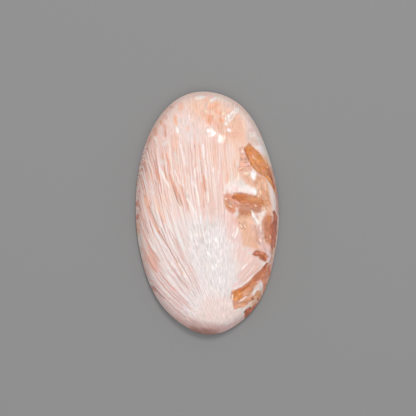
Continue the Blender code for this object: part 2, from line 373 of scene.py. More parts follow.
# Streaks along the needles: upper end, lower end, half width, strength
STREAKS = {
    "blush": (
        (-2.0, 9.8, -1.7, 7.6, 0.34, 0.8), (-1.9, 7.0, -1.3, 3.0, 0.3, 0.6),
        (-0.5, 1.6, -0.4, -0.6, 0.34, 0.8), (2.2, 9.8, 2.0, 3.5, 0.6, 0.5),
        (-3.0, -8.0, -2.6, -9.4, 0.3, 0.6),
    ),
    "peach": (
        (-0.6, 17.2, 0.0, 14.6, 0.4, 0.7), (1.6, 10.6, 1.4, 7.2, 0.24, 0.7),
        (2.8, 8.2, 2.6, 6.3, 0.22, 0.7), (-4.6, 12.6, -4.3, 9.8, 0.34, 0.9),
        (3.4, 6.8, 3.3, 4.4, 0.34, 0.5), (-4.4, 8.8, -4.1, 6.6, 0.2, 0.6), (4.9, 10.6, 4.8, 8.6, 0.2, 0.6),
    ),
    "salmon": (
        (3.36, 6.1, 3.3, 5.0, 0.22, 0.7), (4.6, 8.2, 4.4, 6.9, 0.14, 0.7),
    ),
    "copper": (
        (-6.4, 15.2, -6.7, 14.2, 0.2, 0.3),
    ),
    "rose": (
        (-7.95, 11.7, -7.5, 10.3, 0.11, 0.8), (-8.4, 10.0, -8.15, 9.1, 0.12, 0.7),
        (2.75, 1.0, 2.5, -1.9, 0.08, 0.7), (-1.0, 6.2, -0.95, 5.2, 0.09, 0.5),
        (-1.45, 6.0, -1.4, 5.2, 0.09, 0.5),
    ),
    "mauve": (
        (-4.3, -9.6, -3.4, -11.6, 0.07, 0.7), (-3.9, -10.6, -3.0, -12.4, 0.06, 0.6),
        (-2.2, -10.9, -1.7, -12.4, 0.07, 0.5), (-2.75, -11.2, -2.2, -12.6, 0.06, 0.5),
        (-4.9, -12.2, -3.4, -14.0, 0.06, 0.4), (-6.3, 10.6, -6.1, 9.2, 0.1, 0.4),
        (-2.6, 11.0, -2.5, 9.4, 0.12, 0.3), (0.35, 7.8, 0.35, 5.4, 0.08, 0.5),
        (-0.45, -2.2, -0.4, -3.0, 0.08, 0.7), (-2.05, 4.8, -1.7, 2.2, 0.08, 0.5),
    ),
    "white": (
        (-4.35, 13.5, -4.1, 12.6, 0.12, 0.9), (-2.3, 15.4, -2.2, 14.6, 0.12, 0.7),
        (-4.4, -9.9, -3.6, -11.6, 0.07, 0.6), (-3.9, -9.4, -3.4, -10.8, 0.1, 0.5),
        (-3.2, -11.2, -2.5, -12.8, 0.08, 0.5), (4.65, -2.4, 4.1, -4.1, 0.14, 0.9),
        (3.6, -4.2, 3.1, -5.0, 0.11, 0.7), (2.35, -5.1, 2.1, -6.7, 0.1, 0.8),
        (1.25, -1.9, 1.3, -2.4, 0.09, 0.9), (1.65, -1.9, 1.62, -2.6, 0.1, 0.9),
        (3.1, 0.5, 2.95, -0.6, 0.07, 0.6), (1.15, 7.1, 1.2, 6.2, 0.13, 0.9),
        (1.95, 6.6, 1.88, 4.5, 0.08, 0.8), (2.3, 10.2, 2.05, 6.0, 0.11, 0.6),
        (-0.75, -2.9, -0.7, -3.7, 0.1, 0.7), (0.1, -4.2, 0.05, -4.7, 0.11, 0.6),
        (-0.15, -6.0, 0.15, -6.7, 0.12, 0.9), (-2.7, -3.4, -2.5, -4.2, 0.07, 0.8),
        (-1.5, -7.3, -1.25, -7.9, 0.08, 0.7), (-3.1, 9.9, -3.0, 8.8, 0.12, 0.3),
        (4.4, -6.2, 3.9, -8.0, 0.09, 0.5), (1.75, -3.2, 1.8, -3.9, 0.3, 0.5),
    ),
}

# Rays: many thin lines along the needles, as colour, the angles of the first and the last, their number,
# the distances from the root between which they run, half width and strength
RAYS = (
    ("rose", -84, -58, 18, 6.0, 16.0, 0.065, 0.6),
    ("rose", -57, -25, 23, 8.0, 19.0, 0.06, 0.55),
    ("white", -56, -30, 12, 9.0, 21.0, 0.08, 0.5),
    ("clay", -70, -36, 12, 15.0, 24.0, 0.08, 0.45),
    ("salmon", -44, -14, 14, 21.0, 31.0, 0.13, 0.45),
    ("white", -40, -6, 16, 18.0, 32.0, 0.1, 0.45),
    ("salmon", -12, 12, 13, 19.0, 32.0, 0.11, 0.35),
    ("white", -5, 14, 11, 20.0, 32.0, 0.09, 0.4),
)

# Straight soft marks on the needles: colour, both ends, half width, strength
MARKS = (
    ("terra", -8.35, 12.4, -8.65, 11.6, 0.18, 0.7), ("terra", -7.75, 13.5, -7.6, 12.5, 0.26, 0.6),
    ("skin", -6.1, 15.3, -6.65, 14.2, 0.28, 0.9), ("tan", -6.75, 14.5, -6.7, 14.1, 0.2, 0.7),
    ("clay", -5.8, 15.2, -5.8, 14.8, 0.12, 0.7), ("skin", -6.2, 13.8, -6.1, 12.4, 0.26, 0.9),
    ("clay", -6.05, 12.9, -6.02, 12.1, 0.1, 0.7), ("peach", -4.45, 15.2, -4.3, 13.9, 0.24, 0.9),
    ("melon", -4.45, 15.0, -4.4, 14.2, 0.2, 0.9), ("salmon", -3.5, 17.1, -3.55, 16.4, 0.36, 0.9),
    ("white", -4.2, 13.2, -4.1, 12.7, 0.2, 0.9), ("clay", -5.0, 16.95, -4.85, 16.8, 0.24, 0.9),
    ("rose", -4.4, 17.4, -4.3, 17.35, 0.14, 0.9), ("white", -1.1, 17.9, 0.1, 18.1, 0.26, 0.7),
    ("white", -0.4, 18.3, -0.2, 18.2, 0.14, 0.7), ("pink", -2.0, 18.4, 1.6, 18.5, 0.16, 0.5),
    ("mauve", -1.6, 10.5, -1.6, 10.3, 0.12, 0.9), ("mauve", -6.45, 11.4, -6.35, 11.3, 0.15, 0.8),
    ("pearl", -6.3, 10.9, -5.7, 11.3, 0.3, 0.7), ("pearl", -7.8, 12.0, -7.4, 11.5, 0.12, 0.8),
    ("sand", -1.65, 14.0, -1.6, 13.3, 0.1, 0.8), ("peach", -2.65, 13.4, -2.6, 13.0, 0.28, 0.7),
    ("cream", -1.75, 14.6, -1.7, 14.3, 0.12, 0.8), ("salmon", 0.45, 17.7, 0.5, 17.5, 0.26, 0.8),
    ("sand", 0.35, 16.9, 0.3, 16.5, 0.22, 0.8), ("white", 1.2, 17.4, 2.0, 17.95, 0.2, 0.8),
    ("cream", 2.2, 18.0, 3.0, 17.6, 0.18, 0.6), ("pink", 1.0, 18.3, 1.5, 18.2, 0.3, 0.6),
    ("cream", 2.85, 17.7, 3.05, 17.5, 0.16, 0.8), ("melon", 1.2, 16.4, 2.2, 16.8, 0.45, 0.9),
    ("copper", 1.4, 16.3, 1.9, 16.5, 0.2, 0.4), ("melon", 2.0, 15.8, 2.4, 15.4, 0.36, 0.8),
    ("copper", 2.4, 15.3, 2.6, 15.2, 0.16, 0.4), ("melon", 1.0, 15.0, 0.75, 14.1, 0.44, 1.0),
    ("coral", 1.0, 14.9, 0.95, 14.4, 0.3, 0.5), ("copper", 0.8, 14.4, 0.8, 14.2, 0.2, 0.3),
    ("melon", 2.4, 14.4, 2.8, 14.2, 0.3, 0.9), ("salmon", 1.5, 14.2, 2.3, 13.2, 0.3, 0.6),
    ("salmon", -0.3, 15.6, 0.2, 15.0, 0.34, 0.6), ("cream", 0.3, 15.7, 0.5, 15.7, 0.18, 0.8),
    ("peach", 0.9, 15.6, 1.2, 15.4, 0.3, 0.9), ("cream", 2.85, 15.2, 3.15, 15.4, 0.13, 0.9),
    ("pearl", 4.0, 14.9, 5.3, 15.9, 0.4, 0.6), ("pearl", 3.3, 13.7, 3.9, 14.9, 0.3, 0.4),
    ("sand", 3.4, 16.7, 5.2, 16.9, 0.4, 0.6), ("tan", 5.6, 16.2, 5.6, 16.0, 0.14, 0.5),
    ("cream", 5.7, 16.5, 5.8, 16.2, 0.14, 0.6), ("cream", 4.4, 14.8, 4.4, 14.5, 0.12, 0.9),
    ("white", 3.3, 13.7, 3.4, 13.6, 0.15, 0.9), ("white", 3.6, 12.8, 3.95, 12.7, 0.2, 0.9),
    ("cream", 3.1, 12.7, 3.2, 12.4, 0.12, 0.7), ("pearl", 3.9, 14.6, 3.8, 13.9, 0.2, 0.5),
    ("copper", 4.1, 12.25, 5.4, 12.2, 0.08, 0.5), ("salmon", 3.4, 12.0, 5.6, 11.9, 0.34, 0.6),
    ("copper", 4.1, 11.6, 4.9, 11.6, 0.08, 0.5), ("cream", 5.9, 14.2, 6.3, 13.1, 0.12, 0.6),
    ("pink", 6.8, 14.4, 7.0, 14.0, 0.2, 0.6), ("mauve", 7.1, 12.7, 8.1, 12.6, 0.28, 0.5),
    ("white", 7.0, 12.1, 8.0, 12.3, 0.1, 0.6), ("pearl", 7.2, 11.7, 7.9, 11.9, 0.22, 0.8),
    ("sand", 7.2, 11.1, 8.6, 12.0, 0.14, 0.8), ("rose", 7.9, 11.0, 8.7, 10.6, 0.3, 0.3),
    ("white", 8.0, 9.9, 9.3, 9.9, 0.26, 0.8), ("white", 8.7, 9.5, 9.3, 9.2, 0.3, 0.7),
    ("pink", 1.35, 11.6, 1.35, 11.0, 0.14, 0.8), ("wheat", 1.75, 12.0, 1.75, 11.5, 0.1, 0.6),
    ("pearl", 1.75, 11.0, 1.8, 10.95, 0.1, 0.9), ("pearl", 1.6, 12.25, 1.6, 12.15, 0.09, 0.9),
    ("tan", 0.45, 13.15, 0.6, 13.05, 0.09, 0.5), ("copper", 2.25, 13.3, 2.2, 12.4, 0.09, 0.6),
    ("pearl", 4.9, 7.7, 5.05, 7.0, 0.16, 0.9), ("pearl", 2.8, 3.3, 4.2, 4.6, 0.1, 0.7),
    ("pink", 4.1, 3.8, 4.7, 3.4, 0.2, 0.5), ("white", 4.6, 4.7, 4.9, 5.3, 0.16, 0.5),
    ("white", 2.6, 3.1, 3.4, 4.2, 0.07, 0.5), ("white", 3.7, 3.5, 4.8, 4.3, 0.07, 0.5),
    ("white", 1.2, -4.1, 1.5, -5.2, 0.24, 0.8), ("white", 0.35, -6.75, 0.6, -6.7, 0.11, 0.8),
    ("white", 1.1, -6.8, 1.1, -7.1, 0.09, 0.8), ("white", 1.3, -7.6, 1.8, -7.3, 0.2, 0.7),
    ("white", 0.5, -8.1, 0.6, -8.7, 0.14, 0.8), ("white", 1.1, -8.0, 1.1, -8.3, 0.11, 0.9),
    ("white", 1.6, -9.9, 1.4, -10.4, 0.11, 0.9), ("white", 1.45, -10.8, 1.5, -10.9, 0.12, 0.8),
    ("white", 1.8, -14.1, 1.8, -14.2, 0.1, 0.7), ("blush", 5.9, -7.6, 6.2, -7.4, 0.2, 0.7),
    ("mauve", 3.85, -3.9, 3.85, -4.1, 0.08, 0.7), ("white", 3.85, -3.3, 3.8, -3.8, 0.09, 0.6),
    ("pearl", 5.4, -5.8, 5.8, -5.6, 0.18, 0.7), ("pink", 6.3, -5.9, 6.8, -6.2, 0.16, 0.7),
    ("pearl", 6.1, -6.5, 6.5, -6.3, 0.22, 0.7),
)

# White flakes at the upper right: where each begins, and each one's run, half width and strength
FLAKES = (
    (3.8, 14.7), (4.2, 15.3), (4.65, 14.85), (5.0, 15.6), (5.4, 16.0), (4.5, 15.55), (3.95, 14.1),
    (3.45, 13.7), (4.25, 14.4), (5.15, 15.3), (3.6, 14.9), (3.3, 14.5), (4.0, 15.0), (4.75, 15.3),
    (5.45, 15.75), (3.2, 13.95), (3.7, 14.3), (4.9, 15.95),
)
FLAKE = (0.1, 0.12, 0.11, 0.75)

# How wide the edge of a crystal is
CRISP = 0.26
SOFT = 0.6

# Each crystal: its colour, the way it runs in degrees from +X, how strongly its striations show, how wide
# its edge is, its outline, and the marks in it, as colour, both ends, half width and strength
CRYSTALS = (
    # The pink hatching left of the long crystal
    ("salmon", 4, 0.7, SOFT, (
        (5.2, 9.9), (5.9, 10.1), (6.3, 10.0), (6.6, 8.2), (7.2, 7.2), (7.1, 6.3), (6.0, 6.1), (5.1, 6.2),
        (5.0, 6.8), (5.3, 7.8)), (
        ("white", 5.75, 9.6, 5.8, 9.2, 0.11, 0.9), ("mauve", 5.7, 9.05, 5.75, 8.95, 0.1, 0.9),
        ("tan", 5.5, 8.4, 5.7, 8.1, 0.12, 0.6), ("veil", 6.1, 8.9, 6.2, 8.6, 0.14, 0.7),
        ("clay", 6.15, 8.15, 6.35, 8.05, 0.12, 0.8), ("clay", 6.0, 7.65, 6.6, 7.65, 0.07, 0.7),
        ("pink", 6.2, 7.3, 6.7, 7.35, 0.18, 0.9), ("clay", 6.45, 6.95, 6.65, 6.9, 0.11, 0.8),
        ("coral", 6.7, 7.1, 6.9, 7.0, 0.12, 0.6), ("peach", 5.9, 6.5, 6.6, 6.5, 0.16, 0.7),
        ("cream", 5.2, 6.8, 5.9, 6.75, 0.06, 0.6), ("copper", 5.2, 6.5, 5.8, 6.4, 0.1, 0.5),
        ("cream", 5.1, 9.2, 5.3, 8.6, 0.1, 0.5), ("white", 6.2, 9.0, 6.15, 8.95, 0.07, 0.5))),
    # The peach patch under it, and the white one beside that
    ("apricot", -60, 0.3, SOFT, (
        (5.2, 6.1), (6.2, 6.0), (7.0, 5.7), (7.4, 4.8), (7.7, 4.2), (7.7, 3.6), (7.0, 3.8), (6.2, 4.3),
        (5.6, 5.0)), (
        ("wheat", 6.4, 5.4, 6.6, 4.8, 0.22, 0.7), ("wheat", 7.2, 4.6, 7.6, 4.0, 0.14, 0.5),
        ("cream", 6.0, 5.95, 6.4, 5.9, 0.12, 0.9), ("bone", 6.7, 5.75, 6.8, 5.6, 0.12, 0.7))),
    ("white", 70, 0.2, CRISP, (
        (7.0, 6.1), (7.4, 6.5), (7.7, 6.1), (7.8, 5.3), (7.7, 4.8), (7.3, 4.9), (7.0, 5.3), (6.9, 5.7)), (
        ("frost", 7.2, 6.3, 7.5, 6.1, 0.14, 0.9), ("white", 7.1, 5.7, 7.5, 5.1, 0.14, 0.9))),
    # The column from the long crystal down to the tongue
    ("wheat", 92, 0.55, SOFT, (
        (7.9, 5.7), (8.6, 5.4), (9.4, 5.2), (9.6, 4.2), (9.75, 2.6), (9.9, 1.4), (9.6, 0.6), (8.6, 0.6),
        (8.0, 1.2), (7.7, 2.3), (7.8, 3.2), (7.5, 4.2), (7.5, 4.7)), (
        ("tan", 7.5, 4.45, 7.9, 4.4, 0.16, 0.6), ("copper", 8.2, 5.2, 8.5, 4.9, 0.32, 0.5),
        ("peach", 8.7, 4.7, 8.85, 4.3, 0.2, 0.6), ("peach", 7.95, 4.0, 7.95, 3.5, 0.2, 0.8),
        ("sand", 7.8, 3.25, 7.85, 2.9, 0.14, 0.7), ("tan", 8.5, 4.2, 8.48, 2.4, 0.06, 0.7),
        ("peach", 9.15, 4.2, 9.2, 3.4, 0.14, 0.8), ("cream", 8.3, 3.1, 8.38, 2.7, 0.1, 0.8),
        ("copper", 8.8, 3.2, 8.8, 2.6, 0.15, 0.8), ("tan", 9.2, 2.9, 9.4, 2.2, 0.26, 0.7),
        ("cream", 8.0, 2.4, 8.05, 2.15, 0.12, 0.9), ("cream", 8.15, 1.9, 8.22, 1.82, 0.09, 0.9),
        ("brown", 8.45, 2.15, 8.47, 1.95, 0.07, 0.9), ("bone", 8.62, 1.82, 8.7, 1.76, 0.07, 0.6))),
    ("opal", 100, 0.2, CRISP, (
        (9.65, 4.4), (9.85, 4.2), (10.25, 3.6), (10.55, 3.0), (10.75, 2.5), (10.85, 1.3), (10.8, 0.4),
        (10.65, 0.15), (10.35, 0.2), (10.1, 0.8), (9.95, 1.65), (9.8, 2.5), (9.75, 3.25), (9.6, 4.2)), (
        ("frost", 10.1, 3.4, 10.3, 2.2, 0.12, 0.5), ("mauve", 10.55, 2.2, 10.6, 1.3, 0.1, 0.5),
        ("shell", 10.5, 0.8, 10.65, 0.3, 0.12, 0.6))),
    # The long crystal at the upper right
    ("gold", -56, 0.9, CRISP, (
        (6.85, 10.55), (6.5, 10.25), (6.15, 9.85), (6.15, 9.2), (6.4, 8.5), (6.7, 7.9), (7.1, 7.2),
        (7.45, 6.6), (7.9, 6.1), (8.2, 5.7), (8.8, 5.5), (9.3, 5.3), (9.7, 4.6), (10.05, 4.0), (10.4, 3.3),
        (10.75, 2.6), (10.75, 3.8), (10.6, 4.8), (10.4, 5.7), (10.15, 6.5), (9.95, 7.1), (9.3, 7.8),
        (8.9, 8.4), (8.6, 8.75), (8.25, 9.2), (7.8, 9.6), (7.5, 9.9), (7.15, 10.5)), (
        ("tan", 6.8, 10.45, 7.05, 10.2, 0.24, 0.8), ("orange", 6.4, 9.6, 6.6, 9.0, 0.26, 0.6),
        ("rust", 6.12, 9.85, 6.25, 9.2, 0.09, 0.9), ("brown", 6.25, 9.2, 6.75, 7.9, 0.1, 0.9),
        ("ember", 6.95, 9.45, 7.15, 9.2, 0.12, 0.7), ("coral", 7.4, 9.3, 8.0, 8.8, 0.26, 0.5),
        ("coral", 6.85, 8.75, 7.1, 8.3, 0.15, 0.9), ("peach", 7.38, 8.65, 7.6, 8.3, 0.1, 0.9),
        ("clay", 7.3, 8.45, 7.5, 8.2, 0.07, 0.7), ("brown", 7.66, 8.65, 7.82, 8.2, 0.05, 0.8),
        ("peach", 7.76, 8.18, 7.84, 8.06, 0.07, 0.8), ("ember", 7.1, 7.75, 7.35, 7.5, 0.14, 0.6),
        ("brown", 7.65, 7.5, 8.0, 7.1, 0.15, 0.7), ("orange", 8.1, 7.2, 8.9, 6.4, 0.5, 0.6),
        ("coral", 8.85, 7.35, 8.95, 7.15, 0.18, 0.6), ("coral", 7.6, 6.8, 7.75, 6.7, 0.11, 0.7),
        ("cocoa", 9.2, 7.45, 9.5, 7.3, 0.16, 0.5), ("brown", 9.0, 6.95, 9.4, 6.5, 0.09, 0.8),
        ("peach", 9.55, 6.85, 9.65, 6.7, 0.08, 0.9), ("copper", 8.9, 6.25, 9.2, 6.1, 0.2, 0.6),
        ("brown", 9.8, 6.9, 9.9, 6.6, 0.1, 0.7), ("rust", 9.75, 6.45, 9.95, 5.9, 0.22, 0.8),
        ("brick", 9.6, 5.8, 10.0, 5.4, 0.2, 0.7), ("brick", 10.1, 5.8, 10.25, 4.9, 0.2, 0.9),
        ("rust", 10.2, 5.3, 10.6, 3.6, 0.17, 0.9), ("terra", 8.5, 5.9, 9.2, 5.7, 0.26, 0.7),
        ("brown", 8.08, 6.05, 8.2, 5.85, 0.09, 0.7), ("peach", 9.3, 5.95, 9.4, 5.85, 0.07, 0.5))),
    ("wheat", -70, 0.3, SOFT, (
        (8.7, 8.75), (9.2, 8.55), (9.7, 8.4), (10.05, 7.6), (10.1, 6.9), (9.9, 7.1), (9.4, 7.45),
        (9.1, 7.9)), (
        ("peach", 9.2, 8.5, 9.6, 7.9, 0.18, 0.7), ("cream", 9.8, 8.1, 10.0, 7.2, 0.09, 0.8),
        ("butter", 9.45, 7.8, 9.6, 7.6, 0.14, 0.5))),
    # The hatched end of the tongue
    ("copper", -40, 0.6, SOFT, (
        (2.65, 2.7), (3.2, 2.95), (3.8, 2.8), (4.0, 2.3), (4.4, 1.7), (4.9, 1.15), (4.9, 0.8), (4.5, 0.4),
        (4.3, -0.1), (3.9, -0.2), (3.4, 0.1), (3.0, 0.5), (2.75, 1.1), (2.65, 1.9)), (
        ("brown", 2.85, 2.42, 3.15, 2.36, 0.07, 0.8), ("cream", 2.8, 2.1, 3.05, 2.0, 0.11, 0.9),
        ("clay", 3.3, 2.15, 3.45, 1.85, 0.12, 0.9), ("coral", 3.75, 2.35, 3.9, 2.1, 0.12, 0.9),
        ("clay", 3.4, 2.6, 3.8, 2.65, 0.12, 0.4), ("clay", 3.2, 1.55, 3.35, 1.4, 0.1, 0.7),
        ("bone", 3.6, 1.5, 3.75, 1.4, 0.09, 0.9), ("umber", 3.65, 1.28, 3.85, 1.12, 0.07, 0.9),
        ("cream", 3.45, 1.0, 3.8, 0.85, 0.09, 0.9), ("butter", 2.95, 1.6, 3.1, 1.0, 0.11, 0.7),
        ("gold", 3.15, 0.8, 3.35, 0.6, 0.11, 0.8), ("coral", 3.65, 0.55, 3.9, 0.25, 0.18, 0.8),
        ("clay", 4.2, 1.5, 4.65, 1.05, 0.14, 0.9), ("sand", 3.95, 1.6, 4.1, 1.4, 0.1, 0.7),
        ("shell", 4.5, 0.6, 4.6, 0.3, 0.13, 0.9), ("clay", 2.68, 2.5, 2.68, 1.2, 0.05, 0.6))),
    # The tongue: a pinkish sill below it, then its body, which runs into the column
    ("terra", -4, 0.3, SOFT, (
        (4.9, 1.2), (5.6, 1.45), (7.6, 1.5), (8.6, 1.6), (8.7, 0.9), (8.5, 0.4), (8.3, -0.1), (7.6, -0.3),
        (7.1, 0.0), (6.4, 0.3), (5.6, 0.5), (4.9, 0.7)), (
        ("cocoa", 6.8, 0.3, 8.1, 0.1, 0.3, 0.7), ("clay", 5.7, 0.6, 6.4, 0.4, 0.2, 0.6),
        ("tan", 5.2, 1.1, 6.0, 1.05, 0.2, 0.7), ("peach", 6.25, 1.08, 6.5, 1.02, 0.07, 0.8),
        ("copper", 6.6, 0.75, 6.9, 0.7, 0.14, 0.6), ("cream", 7.42, 0.95, 7.6, 0.8, 0.09, 0.9),
        ("brown", 7.62, 0.66, 7.72, 0.6, 0.06, 0.8), ("brown", 7.9, 0.95, 8.15, 0.85, 0.12, 0.4),
        ("bone", 8.6, 0.8, 8.7, 0.7, 0.09, 0.6))),
    ("fawn", -70, 0.6, SOFT, (
        (8.0, 2.0), (8.4, 1.6), (9.0, 1.7), (9.6, 1.7), (9.95, 1.2), (9.9, 0.5), (9.3, 0.6), (8.7, 0.7),
        (8.3, 1.0)), (
        ("brown", 8.5, 1.35, 8.6, 1.2, 0.11, 0.5), ("wheat", 9.3, 1.2, 9.5, 1.1, 0.26, 0.8),
        ("peach", 9.7, 0.8, 9.85, 0.5, 0.16, 0.8))),
    ("orange", -3, 0.6, CRISP, (
        (3.9, 2.15), (4.1, 2.7), (4.5, 2.95), (5.3, 2.9), (6.0, 2.8), (6.8, 2.62), (7.6, 2.38), (8.3, 2.05),
        (8.7, 1.6), (8.4, 1.2), (7.6, 1.2), (6.6, 1.25), (5.6, 1.3), (5.05, 1.38), (4.75, 1.65),
        (4.35, 1.9)), (
        ("ember", 4.4, 2.35, 5.4, 2.15, 0.34, 0.6), ("rust", 4.02, 2.25, 4.2, 2.15, 0.16, 0.8),
        ("rust", 4.65, 1.95, 5.05, 1.55, 0.11, 0.8), ("ember", 5.1, 1.7, 6.6, 1.6, 0.16, 0.4),
        ("butter", 4.28, 2.68, 4.62, 2.7, 0.09, 0.9), ("fawn", 6.5, 2.05, 8.1, 1.75, 0.34, 0.9),
        ("tan", 7.0, 2.3, 7.8, 2.1, 0.12, 0.5), ("clay", 6.0, 2.68, 7.6, 2.26, 0.07, 0.7),
        ("brown", 7.4, 1.45, 7.9, 1.35, 0.12, 0.4), ("coral", 5.9, 2.1, 6.1, 2.0, 0.16, 0.3))),
    ("umber", -8, 0.0, CRISP, (
        (4.1, 3.0), (4.6, 3.06), (5.2, 2.95), (6.2, 2.86), (6.3, 2.72), (5.2, 2.8), (4.6, 2.92)), ()),
    ("coral", -38, 0.0, CRISP, (
        (4.25, 1.95), (4.6, 1.75), (5.15, 1.3), (5.05, 1.15), (4.6, 1.45), (4.2, 1.75)), (
        ("peach", 4.4, 1.75, 5.0, 1.25, 0.05, 0.6),)),
    # The darker ground under the tongue
    ("tan", 60, 0.4, SOFT, (
        (4.85, 0.6), (5.6, 0.55), (6.7, 0.3), (6.85, -0.7), (6.2, -1.2), (5.0, -1.3), (4.6, -0.9),
        (4.8, -0.2)), (
        ("brown", 5.25, 0.15, 5.4, -0.05, 0.14, 0.7), ("brown", 5.45, -0.15, 5.62, -0.26, 0.09, 0.9),
        ("terra", 5.2, 0.2, 6.5, -0.3, 0.45, 0.7), ("wheat", 5.2, -0.9, 6.4, -0.9, 0.3, 0.9),
        ("clay", 5.9, 0.42, 6.1, 0.34, 0.11, 0.6), ("butter", 6.3, -0.45, 6.6, -0.4, 0.12, 0.6))),
    # The peach block under that
    ("apricot", 80, 0.3, SOFT, (
        (4.0, -0.9), (4.8, -1.1), (6.9, -0.8), (7.2, -1.9), (7.2, -3.2), (7.4, -4.6), (7.9, -5.4),
        (7.7, -6.0), (7.0, -5.8), (6.2, -5.5), (5.4, -5.3), (5.15, -4.5), (5.1, -3.2), (4.7, -2.2),
        (4.0, -1.7)), (
        ("pink", 4.1, -1.4, 4.5, -1.8, 0.3, 0.7), ("peach", 6.3, -1.5, 6.9, -1.9, 0.3, 0.7),
        ("veil", 6.8, -2.2, 7.0, -2.8, 0.24, 0.7), ("peach", 6.4, -3.3, 6.9, -3.7, 0.3, 0.8),
        ("wheat", 5.6, -2.0, 7.2, -5.2, 0.6, 0.4), ("butter", 7.4, -5.3, 7.55, -5.5, 0.16, 0.5),
        ("umber", 4.85, -1.6, 5.05, -1.95, 0.08, 0.8), ("cream", 5.1, -2.1, 5.3, -2.4, 0.1, 0.9),
        ("umber", 5.3, -2.1, 5.65, -2.5, 0.07, 0.8), ("umber", 5.1, -2.65, 5.4, -2.5, 0.07, 0.7),
        ("cream", 5.65, -2.15, 5.8, -2.45, 0.09, 0.8), ("tan", 5.7, -2.6, 5.85, -2.8, 0.07, 0.6),
        ("cream", 5.1, -2.9, 5.5, -3.0, 0.07, 0.5), ("tan", 5.5, -1.75, 5.7, -1.85, 0.08, 0.5))),
    ("pearl", 90, 0.0, SOFT, (
        (4.3, -0.05), (4.65, -0.1), (4.75, -0.5), (4.55, -0.65), (4.25, -0.5)), ()),
    # The pinkish band, which ends in a whiter one
    ("veil", 95, 0.5, SOFT, (
        (7.9, -2.0), (8.5, -2.2), (8.6, -3.2), (8.5, -4.0), (8.8, -4.8), (9.4, -5.2), (9.6, -6.0),
        (9.85, -6.9), (9.8, -7.6), (9.3, -7.9), (9.0, -7.8), (9.1, -7.0), (8.6, -6.5), (8.1, -6.1),
        (7.7, -5.8), (7.6, -5.0), (7.4, -4.2), (7.45, -3.2), (7.7, -2.6)), (
        ("shell", 8.1, -2.3, 8.25, -3.0, 0.13, 0.8), ("plum", 8.45, -2.92, 8.46, -3.05, 0.05, 0.8),
        ("tan", 7.35, -2.3, 7.6, -4.6, 0.24, 0.6), ("clay", 7.5, -4.4, 7.6, -4.8, 0.05, 0.6),
        ("shell", 8.0, -4.4, 8.15, -4.6, 0.15, 0.9), ("umber", 7.9, -4.98, 7.98, -5.04, 0.11, 0.7),
        ("peach", 8.6, -4.5, 8.7, -4.8, 0.12, 0.7), ("peach", 7.8, -5.4, 8.1, -5.6, 0.2, 0.6),
        ("pink", 8.6, -5.3, 9.2, -5.6, 0.3, 0.7), ("clay", 8.65, -5.7, 8.8, -5.95, 0.06, 0.6),
        ("frost", 9.1, -6.0, 9.5, -7.2, 0.2, 0.6), ("pink", 9.7, -6.8, 9.75, -7.2, 0.1, 0.6),
        ("plum", 9.1, -6.95, 9.25, -7.15, 0.07, 0.8), ("frost", 9.15, -7.35, 9.3, -7.6, 0.14, 0.8),
        ("shell", 8.95, -7.65, 9.1, -7.85, 0.12, 0.9))),
    # The orange block right of it
    ("terra", 85, 0.55, SOFT, (
        (8.65, -0.9), (9.2, -0.6), (10.2, -0.7), (10.2, -1.4), (10.1, -2.2), (10.0, -3.2), (10.0, -4.4),
        (10.1, -5.2), (9.6, -5.4), (9.2, -5.1), (8.8, -4.7), (8.6, -4.0), (8.6, -3.0), (8.5, -2.2),
        (8.45, -1.5)), (
        ("gold", 9.4, -0.8, 9.5, -1.3, 0.26, 0.7), ("copper", 8.9, -0.9, 8.95, -1.5, 0.2, 0.7),
        ("tan", 8.7, -1.8, 8.8, -2.6, 0.16, 0.6), ("copper", 8.95, -3.2, 9.1, -3.8, 0.24, 0.4),
        ("brown", 9.2, -1.8, 9.2, -3.3, 0.05, 0.4), ("brown", 9.5, -2.0, 9.55, -3.4, 0.05, 0.4),
        ("brown", 8.85, -4.0, 8.95, -4.2, 0.11, 0.8), ("wheat", 9.05, -4.35, 9.2, -4.5, 0.12, 0.8),
        ("peach", 9.55, -3.95, 9.68, -4.2, 0.1, 0.9), ("rust", 9.74, -4.36, 9.84, -4.44, 0.07, 0.9),
        ("ember", 9.8, -4.75, 9.95, -5.05, 0.14, 0.8), ("peach", 8.65, -4.55, 8.75, -4.7, 0.11, 0.7),
        ("wheat", 9.2, -4.9, 9.4, -5.1, 0.12, 0.6))),
    # The rim crystal
    ("brick", 88, 0.7, CRISP, (
        (10.15, -0.1), (10.55, 0.05), (10.95, -0.6), (11.0, -2.0), (10.9, -3.2), (10.75, -4.2),
        (10.55, -5.2), (10.2, -6.0), (9.95, -6.7), (9.6, -6.6), (9.6, -5.9), (9.75, -5.3), (9.9, -4.9),
        (9.8, -4.2), (9.72, -3.2), (9.7, -2.2), (9.95, -2.0), (10.2, -1.8), (10.3, -1.2), (10.25, -0.6)), (
        ("brown", 9.85, -2.2, 9.85, -3.4, 0.1, 0.7), ("rust", 10.02, -2.3, 10.0, -3.0, 0.12, 0.6),
        ("dark", 10.55, -1.5, 10.55, -3.4, 0.13, 0.7), ("rust", 10.45, -3.4, 10.35, -4.6, 0.12, 0.6),
        ("copper", 10.2, -4.6, 10.1, -5.3, 0.14, 0.3), ("clay", 9.8, -6.1, 9.7, -6.6, 0.16, 0.6),
        ("dark", 10.35, -0.2, 10.5, -0.25, 0.11, 0.7), ("brown", 10.5, -0.5, 10.5, -1.4, 0.12, 0.6),
        ("peach", 10.1, -0.62, 10.2, -0.78, 0.11, 0.9))),
    # Needles between the junction and the orange block, and the white V-shaped marks below the tongue
    ("wheat", -70, 0.4, SOFT, (
        (8.7, 0.7), (9.7, 0.7), (10.1, 0.2), (10.0, -0.5), (9.4, -0.7), (8.8, -0.5), (8.6, 0.1)), (
        ("cream", 8.8, 0.5, 9.25, -0.3, 0.09, 0.9), ("peach", 9.35, 0.55, 9.62, -0.1, 0.08, 0.9),
